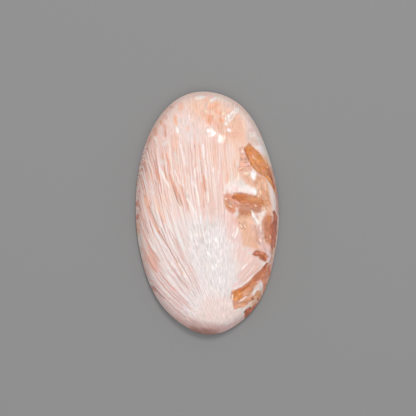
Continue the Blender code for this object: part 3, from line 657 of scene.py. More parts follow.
        ("tan", 9.05, 0.3, 9.15, -0.5, 0.05, 0.7), ("cream", 9.85, 0.3, 9.95, 0.0, 0.1, 0.6),
        ("coral", 9.5, -0.4, 9.6, -0.6, 0.11, 0.7))),
    ("shell", -55, 0.3, SOFT, (
        (7.95, -0.6), (8.5, -0.4), (8.85, -0.2), (8.85, -0.5), (8.6, -0.9), (8.35, -1.5), (8.15, -2.2),
        (7.85, -2.1), (7.6, -1.4), (7.7, -0.9)), (
        ("veil", 7.7, -0.7, 7.8, -1.1, 0.16, 0.9), ("shell", 8.7, -0.3, 8.0, -1.8, 0.2, 0.9),
        ("white", 8.95, -0.1, 8.35, -0.5, 0.14, 0.7))),
    ("mauve", -60, 0.0, SOFT, (
        (7.05, -0.9), (7.4, -0.9), (7.6, -1.2), (7.5, -1.7), (7.3, -1.6)), (
        ("white", 6.82, 0.1, 6.95, -0.25, 0.09, 0.7), ("white", 6.98, -0.4, 7.22, -0.8, 0.17, 1.0),
        ("white", 7.3, -0.95, 7.5, -1.2, 0.1, 0.8), ("white", 7.5, -1.25, 7.85, -1.85, 0.16, 1.0))),
    # The small crystal that points at the lath
    ("brown", -36, 0.8, CRISP, (
        (6.8, -6.65), (7.05, -6.15), (7.45, -5.95), (7.95, -6.1), (8.5, -6.4), (8.95, -6.75), (9.15, -7.2),
        (9.0, -7.6), (8.85, -7.95), (8.35, -7.8), (7.85, -7.45), (7.78, -7.05), (7.4, -6.95),
        (7.0, -6.85)), (
        ("copper", 7.3, -6.5, 8.3, -6.6, 0.14, 0.5), ("rust", 8.4, -7.1, 8.6, -7.3, 0.22, 0.7),
        ("rust", 8.0, -7.35, 8.72, -7.75, 0.07, 0.8), ("rust", 7.05, -6.7, 7.85, -6.9, 0.05, 0.9),
        ("coral", 8.85, -7.0, 8.95, -7.35, 0.09, 0.7), ("umber", 7.3, -6.12, 7.4, -6.16, 0.09, 0.8),
        ("coral", 8.0, -6.5, 8.4, -6.7, 0.1, 0.5), ("wheat", 7.5, -6.02, 8.2, -6.25, 0.09, 0.8))),
    ("opal", -50, 0.3, SOFT, (
        (7.6, -7.4), (8.1, -7.6), (8.65, -7.95), (8.6, -8.2), (8.2, -8.6), (7.9, -8.4), (7.6, -7.9)), (
        ("mauve", 8.0, -7.9, 8.1, -8.2, 0.12, 0.5), ("white", 8.3, -8.3, 8.65, -8.05, 0.08, 0.9))),
    # The lath at the lower right
    ("terra", 39, 0.8, CRISP, (
        (3.25, -12.6), (3.9, -12.15), (4.8, -11.7), (5.8, -11.0), (6.6, -10.35), (7.3, -9.75), (7.9, -9.2),
        (8.4, -8.7), (8.9, -8.1), (9.3, -8.15), (9.75, -8.3), (9.75, -9.2), (9.5, -10.2), (9.2, -11.3),
        (8.8, -12.4), (8.3, -12.5), (8.3, -11.4), (8.1, -10.9), (7.8, -10.95), (7.4, -11.3), (7.0, -11.8),
        (6.6, -12.4), (6.5, -13.0), (6.0, -13.2), (5.4, -13.2), (4.5, -13.9), (3.6, -14.05),
        (3.25, -13.4)), (
        ("brown", 7.2, -10.2, 8.8, -8.9, 0.6, 0.7), ("brown", 8.2, -9.8, 9.2, -9.2, 0.5, 0.6),
        ("honey", 3.8, -12.6, 4.7, -12.6, 0.5, 0.9), ("honey", 3.8, -13.4, 4.6, -13.1, 0.4, 0.9),
        ("ember", 4.7, -12.15, 6.1, -11.55, 0.3, 0.9), ("orange", 6.3, -11.3, 7.0, -10.9, 0.3, 0.7),
        ("honey", 5.0, -12.4, 5.9, -12.0, 0.18, 0.6), ("wheat", 5.3, -12.75, 6.4, -12.75, 0.3, 0.9),
        ("tan", 5.2, -12.7, 6.4, -12.1, 0.2, 0.6), ("butter", 3.9, -13.2, 4.0, -13.25, 0.12, 0.9),
        ("butter", 3.8, -13.7, 4.1, -13.6, 0.16, 0.9), ("butter", 4.5, -12.78, 4.7, -12.7, 0.1, 0.7),
        ("cream", 3.42, -12.75, 3.42, -13.6, 0.11, 0.9), ("wheat", 6.8, -11.85, 7.15, -11.5, 0.18, 0.8),
        ("veil", 7.3, -11.05, 7.9, -10.8, 0.15, 0.8), ("brick", 6.9, -10.75, 7.1, -10.85, 0.13, 0.5),
        ("coral", 6.3, -11.4, 6.5, -11.3, 0.12, 0.5), ("rust", 8.1, -9.1, 8.6, -8.6, 0.22, 0.6),
        ("rust", 8.55, -8.75, 8.9, -8.35, 0.15, 0.8), ("dark", 8.9, -8.2, 9.1, -8.15, 0.09, 0.9),
        ("coral", 8.92, -8.7, 8.95, -9.2, 0.08, 0.9), ("brick", 9.35, -8.6, 9.4, -9.2, 0.15, 0.9),
        ("cocoa", 9.05, -9.8, 9.0, -11.4, 0.24, 0.8), ("brick", 8.65, -10.2, 8.65, -11.7, 0.11, 0.5),
        ("cocoa", 8.3, -10.0, 8.5, -10.2, 0.2, 0.4), ("umber", 8.3, -8.95, 7.7, -9.5, 0.06, 0.6),
        ("umber", 6.3, -10.75, 5.1, -11.65, 0.07, 0.8), ("brown", 3.25, -12.65, 3.7, -12.3, 0.06, 0.6),
        ("umber", 3.15, -12.8, 3.18, -13.3, 0.07, 0.6))),
    ("opal", 45, 0.3, CRISP, (
        (7.75, -11.0), (8.1, -10.95), (8.25, -11.4), (8.3, -12.3), (7.6, -12.2), (7.2, -12.5),
        (6.9, -12.95), (6.45, -12.9), (6.6, -12.45), (7.0, -12.0), (7.4, -11.5)), (
        ("white", 7.95, -11.1, 8.1, -11.8, 0.11, 0.7), ("mauve", 7.7, -11.6, 7.8, -11.8, 0.13, 0.5),
        ("pearl", 6.8, -12.6, 7.2, -12.3, 0.2, 0.7))),
    # The block and the dark crystal below the lath
    ("tan", 12, 0.55, CRISP, (
        (3.45, -14.0), (4.4, -14.0), (5.0, -13.7), (5.7, -13.3), (6.3, -13.15), (6.9, -13.1), (7.05, -12.7),
        (7.3, -12.35), (7.9, -12.35), (8.3, -12.8), (8.1, -13.4), (7.75, -13.75), (7.3, -13.75),
        (6.9, -13.8), (6.3, -14.1), (5.8, -14.3), (5.5, -14.6), (5.1, -14.85), (4.4, -14.95),
        (3.6, -15.1)), (
        ("copper", 3.8, -14.25, 3.9, -14.9, 0.28, 0.7), ("wheat", 4.4, -14.55, 5.0, -14.35, 0.24, 0.7),
        ("gold", 4.9, -14.4, 5.1, -14.3, 0.14, 0.5), ("coral", 5.0, -14.72, 5.15, -14.76, 0.12, 0.5),
        ("terra", 5.4, -14.1, 5.6, -14.3, 0.16, 0.8), ("wheat", 5.9, -13.5, 6.2, -13.4, 0.18, 0.6),
        ("rust", 6.58, -13.45, 6.6, -13.75, 0.14, 0.9), ("dark", 6.58, -13.6, 6.6, -13.7, 0.08, 0.6),
        ("umber", 7.0, -13.0, 7.1, -13.15, 0.08, 0.8), ("gold", 7.4, -12.85, 7.7, -13.0, 0.24, 0.5),
        ("umber", 7.15, -12.6, 7.5, -12.4, 0.07, 0.7), ("umber", 7.8, -12.5, 8.1, -12.9, 0.07, 0.6),
        ("dark", 7.42, -13.42, 7.48, -13.6, 0.1, 0.9), ("brick", 7.7, -13.3, 7.8, -13.5, 0.12, 0.7),
        ("cream", 7.05, -13.3, 7.2, -13.75, 0.06, 0.8), ("clay", 3.7, -15.0, 4.3, -14.97, 0.06, 0.6),
        ("umber", 3.58, -14.1, 3.6, -14.9, 0.05, 0.5))),
    ("shell", 28, 0.2, CRISP, (
        (4.4, -13.95), (4.7, -13.68), (5.2, -13.33), (5.6, -13.15), (5.65, -13.3), (5.15, -13.62),
        (4.7, -13.92)), (
        ("white", 4.7, -13.78, 5.4, -13.3, 0.06, 0.5),)),
    ("russet", 48, 0.8, CRISP, (
        (5.2, -15.6), (5.45, -15.2), (5.9, -14.95), (6.6, -14.75), (6.9, -14.4), (7.2, -14.1), (7.6, -13.8),
        (7.9, -13.7), (8.5, -13.4), (7.9, -14.5), (7.2, -15.5), (6.3, -16.5), (5.5, -16.6),
        (5.35, -16.0)), (
        ("dark", 5.2, -15.6, 5.35, -15.65, 0.09, 0.9), ("umber", 5.7, -15.2, 5.8, -15.35, 0.13, 0.5),
        ("ember", 6.1, -15.35, 6.3, -15.15, 0.12, 0.5), ("dark", 5.6, -16.0, 5.9, -15.6, 0.13, 0.5),
        ("cocoa", 6.3, -15.9, 7.1, -15.0, 0.07, 0.7), ("brick", 7.1, -14.4, 7.4, -14.1, 0.13, 0.7),
        ("brown", 6.5, -15.0, 6.7, -14.9, 0.1, 0.6))),
    ("wheat", 40, 0.2, CRISP, (
        (5.9, -14.6), (6.2, -14.35), (6.8, -14.0), (7.2, -13.75), (7.4, -13.8), (7.0, -14.2), (6.6, -14.6),
        (6.2, -14.8)), (
        ("bone", 6.0, -14.6, 6.4, -14.6, 0.14, 0.9),)),
)

# Lines that lie over the crystals
LINES = (
    ("white", 4.85, -11.6, 5.9, -10.72, 0.07, 0.8), ("white", 5.9, -10.72, 6.85, -9.87, 0.08, 0.9),
    ("white", 6.85, -9.87, 7.9, -8.97, 0.07, 0.8), ("white", 7.9, -8.97, 8.75, -8.12, 0.08, 0.9),
    ("dark", 9.35, -8.05, 9.6, -7.7, 0.05, 0.9), ("brown", 9.62, -7.65, 9.92, -6.9, 0.07, 0.7),
    ("cream", 9.75, -7.95, 9.05, -8.55, 0.06, 0.8), ("skin", 9.78, -7.9, 9.72, -9.0, 0.09, 0.6),
    ("bone", 10.25, -5.6, 10.02, -6.9, 0.11, 0.8), ("skin", 10.76, -2.2, 10.68, -3.8, 0.06, 0.6),
    ("white", 7.0, 3.15, 7.5, 2.95, 0.22, 0.9), ("white", 7.52, 3.25, 7.55, 2.75, 0.1, 0.9),
    ("cream", 5.9, 2.98, 6.3, 2.9, 0.1, 0.7), ("cream", 7.85, 9.9, 8.2, 9.62, 0.1, 0.7),
    ("cream", 9.35, 10.3, 10.05, 7.7, 0.16, 0.8),
)

# The noises of the needles' grain: how far apart and how long its shapes are, and its finer layers
BANDS = (0.9, 12.0, 1.0)
STRIPES = (0.42, 9.0, 1.0)
HAIRLINES = (0.26, 5.0, 1.0)
SEAMS = (0.22, 8.0, 0.0)
GRANULES = (0.22, 1.1, 2.0)
MOTTLES = (0.5, 1.6, 1.0)

# The same for the striations in a crystal and the clouds over them
STRIATIONS = (0.24, 4.0, 2.0)
CLOUDS = (0.36, 0.72, 2.0)
NOISE_ROUGHNESS = 0.6

# How much longer the grain's shapes are down the wall than across the needles
SECTION_STRETCH = 3.5

# The distances from the root at which the grain is as coarse as its numbers say, and the multiples of one
# distance between which the grain of the next takes over
NEEDLE_REACHES = (6.5, 13.0, 26.0)
REACH_BLEND = (1.15, 1.75)

# From which noise value on the grain begins to show, and from which on it shows fully
SOFT_GRAIN = (0.5, 0.66)
CRISP_GRAIN = (0.54, 0.63)

# How far each noise whitens the needles where it is low, and how far it flushes them where it is high
BAND_SHARES = (0.35, 0.55)
STRIPE_SHARES = (0.55, 0.55)
HAIRLINE_SHARES = (0.5, 0.6)
SEAM_SHARES = (0.7, 0.8)

# What a flushed needle keeps of the colour painted on it, what the seams between needles keep, and what the
# steep side keeps
FLUSH = (0.93, 0.79, 0.75)
SEAM = (0.76, 0.62, 0.61)
SIDE_FLUSH = (1.0, 0.88, 0.85)
SIDE_DEPTH = 1.5

# What a noise does, as it goes from one value to another: the factors on the colour that these two give, the
# shares of cream for STRIA_GLOW, and the roughnesses for POLISH
STRIA_SHADE = (0.3, 0.56, 0.8, 1.03)
STRIA_GLOW = (0.54, 0.72, 0.0, 0.26)
CLOUD_SHADE = (0.32, 0.68, 0.8, 1.12)
GRANULE_SHADE = (0.32, 0.68, 0.845, 1.105)
MOTTLE_SHADE = (0.32, 0.68, 0.985, 1.015)
POLISH = (0.3, 0.7, 0.03, 0.06)

# The granules' relief: its strength, and its depth in millimetres
BUMP = (0.35, 0.02)

# How light enters the stone and spreads in it
STONE_FINISH = {
    "IOR": 1.52,
    "Subsurface Weight": 0.8,
    "Subsurface Radius": (1.3, 0.8, 0.6),
    "Subsurface Scale": 2.0 * MM,
}

# How strongly the needles and their seams show: ends of the middle line, half width, both shares
RELIEF = (
    (-9.0, 9.0, -7.0, -4.0, 3.5, 0.75, 1.0),
    (-4.5, 10.0, -2.5, -2.0, 2.8, 0.65, 0.48),
    (0.5, 10.5, 1.0, 0.0, 1.8, 0.4, 0.34),
    (3.6, 10.5, 3.4, 5.0, 1.4, 0.35, 0.12),
    (-6.5, 13.5, 1.0, 15.5, 2.6, 0.1, 0.1),
    (-7.5, -8.0, -3.5, -14.0, 2.4, 0.36, 0.66),
    (5.6, -9.8, 7.4, -7.8, 1.5, 0.04, 0.02),
    (-0.8, -14.8, 4.0, -16.2, 1.9, 0.05, 0.04),
    (4.6, 15.6, 5.5, 11.5, 1.6, 0.04, 0.0),
    (3.8, 4.4, 7.0, 3.6, 0.9, 0.05, 0.03),
)
PLAIN_RELIEF = (0.16, 0.18)

# The share of the grain that a thread covers
THREAD_CALM = 0.6

# How strongly the granules show: ends of the middle line, half width, share
SPARKLE = (
    (0.0, -3.5, 0.8, -15.5, 3.4, 1.0),
    (-4.5, 13.5, 2.5, 15.5, 2.4, 0.7),
    (-3.5, -9.0, -1.0, -14.0, 2.0, 0.8),
    (3.4, 13.2, 4.9, 15.8, 1.2, 0.9),
    (-2.5, -15.5, 4.0, -16.2, 1.8, 1.0),
)
PLAIN_SPARKLE = 0.3

# How marks fade with the distance from their middle line, in half widths: MARK_FADE less the distance, and
# for a wide area its first number less its second times the distance, both kept between 0 and 1
MARK_FADE = 1.5
AREA_FADE = (1.4, 0.9)

# Streaks and threads taper to this share of their width at the ends, and a streak fades out there over this
# share of its length
STREAK_TAPER = 0.5
STREAK_END = 0.15
THREAD_TAPER = 0.6

# A ray strays sideways by this share of the gap between two, its near end, far end and strength differ by
# these shares, and it fades over this length at the ends
RAY_STRAY = 0.8
RAY_NEAR = 0.4
RAY_FAR = 0.3
RAY_STRENGTH = 0.6
RAY_END = 3

# Where in the noise the rays find what is their own: the first one's place, the step to the next, and the
# scales of their first angle and their far end
RAY_NOISE = (0.4, 1.7, 7, 3)

# A crystal's dark rim: what it keeps of the colour, and its width
CRYSTAL_RIM = (0.86, 0.74, 0.66)
RIM_WIDTH = 0.16

# A crystal's ragged edge: the size of its noise, how far it strays, and its place in the noise
RAGGED = (0.5, 0.1, 5.0)

# How far apart the crystals' striations lie in the noise
CRYSTAL_STEP = 3.7

# Everything painted wavers a little, twice: the size of the noise, and how far it moves things
WOBBLES = ((1.1, 0.07), (0.35, 0.03))

# How far the markings drift on the wall, across and along, for each millimetre down
WALL_DRIFT = (0.1, 0.3)

# The gap round the pieces of the stone's flat map
MAP_MARGIN = 0.4

FLOOR_COLOUR = (135, 135, 135)
FLOOR_FINISH = {"Roughness": 0.9, "Specular IOR Level": 0.2}
FLOOR_HALF = 0.6

# Each light: name, how far it stands to +X and +Y for each unit of height, distance, size, power, whether
# the polish shows it, and by how many degrees it is turned
LIGHTS = (
    ("key", (0.12, 0.54), 0.5, (0.12, 0.12), 0.96, False, 0),
    ("overhead", (0.02, -0.22), 0.6, (0.7, 0.7), 1.4, False, 0),
    ("left glint", (0.145, 0.575), 0.5, (0.062, 0.015), 0.07, True, -40),
    ("right glint", (0.29, 0.505), 0.5, (0.013, 0.056), 0.055, True, 0),
)
ROOM_LIGHT = 0.5

# The photograph in pixels: its side, the stone's middle in it and its scale, and how far the stone's upper
# end leans left
PHOTO_SIDE = 416
STONE_MIDDLE = (207.3, 212.9)
PIXELS_PER_MM = 6.397
STONE_TILT = math.radians(2.0)

# The camera, in metres: its height, and the nearest and farthest that it sees. Its sensor is in millimetres.
CAMERA_HEIGHT = 0.55
CAMERA_CLIP = (0.01, 10.0)
SENSOR = 36.0


def linear(colour):
    """A colour out of 255 as scene-linear red, green and blue."""
    value = np.array(colour, float) / 255
    return np.where(value <= 0.04045, value / 12.92, ((value + 0.055) / 1.055) ** 2.4)


def paint_colour(name):
    return linear(COLOURS[name]) * FULL_LIGHT


def smooth(value):
    """0 below 0, 1 above 1, and an S curve in between."""
    value = np.clip(value, 0, 1)
    return value * value * (3 - 2 * value)


def outline_radius(angle):
    """The distance from the Z axis to the girdle in the direction of angle, measured from +X."""
    across = np.abs(np.cos(angle)) / HALF_WIDTH
    along = np.abs(np.sin(angle)) / HALF_LENGTH
    radius = (across**OUTLINE_POWER + along**OUTLINE_POWER) ** (-1 / OUTLINE_POWER)
    turn = np.arctan2(np.sin(angle) / HALF_LENGTH, np.cos(angle) / HALF_WIDTH)
    waves = sum(height * np.cos(count * turn - crest) for count, height, crest in EDGE_WAVES)
    return radius * (1 + waves)


def section():
    """The blank's section, crown to the middle of the back, as even points with rounded corners.

    Returns them with their distance from the crown along the section, and the girdle's and the back's own.
    """
    crown = Vector((0, HEIGHT))
    shoulder = Vector((HALF_WIDTH - WALL_LEAN, SHOULDER_HEIGHT))
    up_the_wall = Vector((-WALL_LEAN, WALL_HEIGHT)).normalized()
    crown_handle = crown + Vector((CROWN_HANDLE, 0))
    shoulder_handle = shoulder + up_the_wall * SHOULDER_HANDLE
    dome = interpolate_bezier(crown, crown_handle, shoulder_handle, shoulder, DOME_POINTS)
    corners = [(point.x, point.y) for point in dome]
    corners.append((HALF_WIDTH, GIRDLE_HEIGHT))
    corners.append((HALF_WIDTH - BEVEL_CORNER[0], BEVEL_CORNER[1]))
    corners.append((HALF_WIDTH - BEVEL_INSET, 0.0))
    corners.append((0.0, 0.0))
    corners = np.array(corners)

    run = np.concatenate([[0], np.cumsum(np.hypot(*np.diff(corners, axis=0).T))])
    places = np.arange(0, run[-1], SECTION_STEP)
    even = np.stack([np.interp(places, run, corners[:, axis]) for axis in (0, 1)], axis=1)
    reach = int(ROUNDING_REACH * CORNER_ROUNDING / SECTION_STEP)
    kernel = np.exp(-0.5 * (np.arange(-reach, reach + 1) * SECTION_STEP / CORNER_ROUNDING) ** 2)
    kernel /= kernel.sum()
    mirrored = even * (-1, 1)
    padded = np.concatenate([mirrored[reach:0:-1], even, mirrored[-2:-reach - 2:-1]])
    rounded = np.stack([np.convolve(padded[:, axis], kernel, mode="valid") for axis in (0, 1)], axis=1)
    return rounded, places, run[-4], run[-2]


def ring_layout():
    """Each ring's distance along the section and its number of points, from crown to back."""
    points, places, girdle, back = section()
    rings = [(girdle * i / TOP_RINGS, RING_GROWTH * i) for i in range(1, TOP_RINGS + 1)]
    most = RING_GROWTH * TOP_RINGS
    rings += [(girdle + (back - girdle) * i / BEVEL_RINGS, most) for i in range(1, BEVEL_RINGS + 1)]
    end = places[-1]
    growth = most // BACK_RINGS
    rings += [(end - (end - back) * i / BACK_RINGS, growth * i) for i in range(BACK_RINGS - 1, 0, -1)]
    return points, places, rings


def stitch(faces, first, first_count, second, second_count):
    """Triangles between two rings, given each ring's first point and number of points."""
    i = 0
    j = 0
    while i < first_count or j < second_count:
        a = first + i % first_count
        b = second + j % second_count
        if j == second_count or (i < first_count and (i + 1) * second_count <= (j + 1) * first_count):
            i += 1
            faces.append((a, b, first + i % first_count))
        else:
            j += 1
            faces.append((a, b, second + j % second_count))


class Stone:
    """The fine stone's points, in millimetres, and what is worked out at each of them."""

    def __init__(self):
        points, places, rings = ring_layout()
        blank_radius = [0.0]
        height = [points[0, 1]]
        turn = [0.0]
        run = [0.0]
        starts = []
        for place, count in rings:
            starts.append(len(turn))
            blank_radius += [np.interp(place, places, points[:, 0])] * count
            height += [np.interp(place, places, points[:, 1])] * count
            turn += [math.tau * i / count for i in range(count)]
            run += [place] * count
        blank_radius.append(0.0)
        height.append(points[-1, 1])
        turn.append(0.0)
        run.append(places[-1])
        self.starts = starts
        self.counts = [count for _, count in rings]
        self.run = np.array(run)
        self.blank_radius = np.array(blank_radius)
        self.z = np.array(height)
        self.grind(np.array(turn))
        self.polish()

    def grind(self, turn):
        """Brings the round blank to the oval, as the solid was."""
        self.angle = np.arctan2(HALF_LENGTH * np.sin(turn), HALF_WIDTH * np.cos(turn))
        edge = outline_radius(self.angle)
        inset = np.maximum(0, HALF_WIDTH - self.blank_radius)
        stretch = (edge / HALF_WIDTH - 1) * (inset / HALF_WIDTH) ** CONTOUR_STRETCH
        radius = edge - inset * (1 + stretch)
        x = radius * np.cos(self.angle)
        y = radius * np.sin(self.angle)
        self.x = (x - (x.min() + x.max()) / 2) * 2 * HALF_WIDTH / (x.max() - x.min())
        self.y = (y - (y.min() + y.max()) / 2) * 2 * HALF_LENGTH / (y.max() - y.min())
        self.z = (self.z - self.z.min()) * HEIGHT / (self.z.max() - self.z.min())

    def polish(self):
        """Lets the dome wave a little, less and less towards the girdle and not at all on the back."""
        flat = smooth((self.z - GIRDLE_HEIGHT) / WALL_HEIGHT) * (self.run < self.run.max() / 2)
        for index in np.flatnonzero(flat):
            place = Vector((self.x[index], self.y[index], 0.0))
            wave = sum(size * noise.noise(place / length) for length, size in POLISH_WAVES)
            self.z[index] += wave * flat[index]
        self.z *= HEIGHT / self.z.max()

    def faces(self):
        """Triangles, and how many of them lie on the top and the wall."""
        faces = []
        first = self.starts[0]
        count = self.counts[0]
        faces += [(0, first + i, first + (i + 1) % count) for i in range(count)]
        top = 0
        for ring in range(len(self.starts) - 1):
            if ring == TOP_RINGS - 1:
                top = len(faces)
            inner = self.starts[ring], self.counts[ring]
            outer = self.starts[ring + 1], self.counts[ring + 1]
            stitch(faces, *inner, *outer)
        last = len(self.x) - 1
        first = self.starts[-1]
        count = self.counts[-1]
        faces += [(last, first + (i + 1) % count, first + i) for i in range(count)]
        return faces, top


def needle_terms(x, y):
    angle = np.arctan2(x - ROOT[0], y - ROOT[1])
    far = np.hypot(x - ROOT[0], y - ROOT[1]) / FIELD_REACH
    return angle, [angle**i * far**j for i in range(FIELD_ACROSS) for j in range(1, FIELD_OUT + 1)]


def fit_needles():
    """The smooth field that gives each guide its own angle all along, as factors of the terms above."""
    rows = []
    offsets = []
    for name, points in NEEDLES.items():
        for x, y in points:
            angle, terms = needle_terms(x, y)
            rows.append(terms)
            offsets.append(math.radians(name) - angle)
    factors, *_ = np.linalg.lstsq(np.array(rows), np.array(offsets), rcond=1e-9)
    return factors


NEEDLE_FACTORS = fit_needles()


def needle_at(x, y):
    """Which needle passes a point, as the angle at which it leaves the root."""
    angle, terms = needle_terms(x, y)
    return angle + sum(factor * term for factor, term in zip(NEEDLE_FACTORS, terms))


class Painter:
    """Paints colours on the stone's points."""

    def __init__(self, x, y, light):
        self.x = x
        self.y = y
        self.light = light
        self.needle = needle_at(x, y)
        step = 0.05
        slope_x = (needle_at(x + step, y) - self.needle) / step
        slope_y = (needle_at(x, y + step) - self.needle) / step
        self.needle_slope = np.hypot(slope_x, slope_y)
        self.tint = np.zeros((len(x), 3))
        self.paint("base", 1.0, GRAIN_LIFT)
        self.relief = np.tile(PLAIN_RELIEF, (len(x), 1))
        self.sparkle = np.full(len(x), PLAIN_SPARKLE)
        size, reach, place = RAGGED
        ragged = [noise.noise(Vector((a / size, b / size, place))) for a, b in zip(x, y)]
        self.ragged = reach * np.array(ragged)
        self.striae = np.zeros(len(x))
        self.facet = np.zeros((len(x), 3))

    def paint(self, colour, mask, lift):
        """Paints with a colour, brightened by a share of the light that its place goes without."""
        plain = paint_colour(colour)
        brighter = np.minimum(self.light**-lift, BRIGHTEST / plain.max())
        bright = plain * brighter[:, None]
        self.tint += (bright - self.tint) * np.reshape(mask, (-1, 1))

    def away_from(self, x1, y1, x2, y2):
        """The distance to a straight line from end to end."""
        run_x = x2 - x1
        run_y = y2 - y1
        share = np.clip(((self.x - x1) * run_x + (self.y - y1) * run_y) / (run_x**2 + run_y**2), 0, 1)
        return np.hypot(self.x - x1 - share * run_x, self.y - y1 - share * run_y)

    def area(self, x1, y1, x2, y2, half_width):
        """A wide area that fades out over its whole width."""
        return smooth(AREA_FADE[0] - AREA_FADE[1] * self.away_from(x1, y1, x2, y2) / half_width)

    def wash(self, colour, x1, y1, x2, y2, half_width, strength):
        self.paint(colour, strength * self.area(x1, y1, x2, y2, half_width), GRAIN_LIFT)

    def stroke(self, colour, x1, y1, x2, y2, half_width, strength):
        """A straight mark with a soft edge all round."""
        away = self.away_from(x1, y1, x2, y2)
        self.paint(colour, strength * smooth(MARK_FADE - away / half_width), MARK_LIFT)

    def streak(self, colour, x1, y1, x2, y2, half_width, strength):
        """A lens-shaped mark along the needles, from its upper end to its lower end."""
        upper = needle_at(np.array(x1), np.array(y1))
        lower = needle_at(np.array(x2), np.array(y2))
        share = (y1 - self.y) / (y1 - y2)
        middle = upper + (lower - upper) * np.clip(share, 0, 1)
        away = np.abs(self.needle - middle) / self.needle_slope
        lens = STREAK_TAPER + (1 - STREAK_TAPER) * np.sin(math.pi * np.clip(share, 0, 1))
        ends = smooth(share / STREAK_END + 0.5) * smooth((1 - share) / STREAK_END + 0.5)
        self.paint(colour, strength * smooth(MARK_FADE - away / (half_width * lens)) * ends, GRAIN_LIFT)

    def rays(self, colour, first, last, count, near, far, half_width, strength):
        """Evenly spread lines along the needles, each with a place, length and strength a little its own."""
        distance = np.hypot(self.x - ROOT[0], self.y - ROOT[1])
        begin, step, angle_scale, far_scale = RAY_NOISE
        for number in range(count):
            place = Vector((step * number + begin, first / angle_scale, far / far_scale))
            shift, start, end = noise.noise_vector(place)
            middle = math.radians(first + (last - first) * (number + 0.5 + RAY_STRAY * shift) / count)
            away = np.abs(self.needle - middle) / self.needle_slope
            begins = smooth((distance - near * (1 + RAY_NEAR * start)) / RAY_END)
            stops = smooth((far * (1 + RAY_FAR * end) - distance) / RAY_END)
            mask = strength * (1 + RAY_STRENGTH * end) * smooth(MARK_FADE - away / half_width)
            self.paint(colour, mask * begins * stops, MARK_LIFT)

    def thread(self, colour, half_width, strength, *path):
        """A mark along a path that tapers towards both ends."""
        away = np.full(len(self.x), 1e9)
        share = np.zeros(len(self.x))
        for number, (start, end) in enumerate(zip(path, path[1:])):
            run_x, run_y = np.subtract(end, start)
            part = ((self.x - start[0]) * run_x + (self.y - start[1]) * run_y) / (run_x**2 + run_y**2)
            part = np.clip(part, 0, 1)
            gap = np.hypot(self.x - start[0] - part * run_x, self.y - start[1] - part * run_y)
            share = np.where(gap < away, (number + part) / (len(path) - 1), share)
            away = np.minimum(away, gap)
        taper = THREAD_TAPER + (1 - THREAD_TAPER) * np.sin(math.pi * share)
        mask = strength * smooth(MARK_FADE - away / (half_width * taper))
        self.paint(colour, mask, MARK_LIFT)
        self.relief *= 1 - THREAD_CALM * mask[:, None]

    def depth_in(self, outline):
        """The distance to an outline's edge, above zero inside it."""
        inside = np.zeros(len(self.x), bool)
        away = np.full(len(self.x), 1e9)
        for (x1, y1), (x2, y2) in zip(outline, outline[1:] + outline[:1]):
            away = np.minimum(away, self.away_from(x1, y1, x2, y2))
            if y1 != y2:
                meets = (x2 - x1) * (self.y - y1) / (y2 - y1) + x1
                inside ^= ((y1 > self.y) != (y2 > self.y)) & (self.x < meets)
        return np.where(inside, away, -away)

    def crystal(self, number, colour, degrees, striae, edge, outline, marks):
        depth = self.depth_in(outline) + self.ragged
        mask = smooth(depth / edge + 0.5)
        self.paint(colour, mask, MARK_LIFT)
        rim = striae**2 * smooth(1 - np.abs(depth - RIM_WIDTH / 2) / RIM_WIDTH)
        self.tint *= 1 - rim[:, None] * (1 - np.array(CRYSTAL_RIM))
        self.relief *= 1 - mask[:, None]
        self.sparkle *= 1 - mask
        self.striae += (striae - self.striae) * mask
        angle = math.radians(degrees)
        along = self.x * math.cos(angle) + self.y * math.sin(angle)
        across = -self.x * math.sin(angle) + self.y * math.cos(angle)
        inside = mask > 0.5
        layer = np.full(len(along), CRYSTAL_STEP * number)
        self.facet[inside] = np.stack([across, along, layer], axis=1)[inside]
        for mark in marks:
            self.stroke(*mark)


def wobbled(x, y):
    """Points moved a little by noise, so that nothing painted on them has a ruled edge."""
    for size, reach in WOBBLES:
        moved = np.array([noise.noise_vector(Vector((a / size, b / size, 0.0))) for a, b in zip(x, y)])
        x = x + reach * moved[:, 0]
        y = y + reach * moved[:, 1]
    return x, y


def slope_light(mesh):
    """The share of full light that reaches each of the stone's points, by the way it faces."""
    normals = np.zeros(3 * len(mesh.vertices), np.float32)
    mesh.vertex_normals.foreach_get("vector", normals)
    facing = normals.reshape(-1, 3) @ np.array(Vector(LIGHT_DIRECTION).normalized())
    return np.clip(SHADE_LIGHT + (1 - SHADE_LIGHT) * facing, DIMMEST, 1.0)


def paint_stone(x, y, light):
    painter = Painter(*wobbled(x, y), light)
    for wash in WASHES:
        painter.wash(*wash)
    for *place, needles, seams in RELIEF:
        painter.relief += ((needles, seams) - painter.relief) * painter.area(*place)[:, None]
    for *place, share in SPARKLE:
        painter.sparkle += (share - painter.sparkle) * painter.area(*place)
    for ray in RAYS:
        painter.rays(*ray)
    for colour, streaks in STREAKS.items():
        for streak in streaks:
            painter.streak(colour, *streak)
    for thread in THREADS:
        painter.thread(*thread)
    for mark in MARKS:
        painter.stroke(*mark)
    run_x, run_y, half_width, strength = FLAKE
    for left, low in FLAKES:
        painter.stroke("white", left, low, left + run_x, low + run_y, half_width, strength)
    for number, crystal in enumerate(CRYSTALS):
        painter.crystal(number + 1, *crystal)
    for line in LINES:
        painter.stroke(*line)
    return painter


def add_floats(mesh, name, values):
    attribute = mesh.attributes.new(name, "FLOAT", "POINT")
    attribute.data.foreach_set("value", values.astype(np.float32))


def add_vectors(mesh, name, *columns):
    attribute = mesh.attributes.new(name, "FLOAT_VECTOR", "POINT")
    attribute.data.foreach_set("vector", np.stack(columns, axis=1).astype(np.float32).ravel())


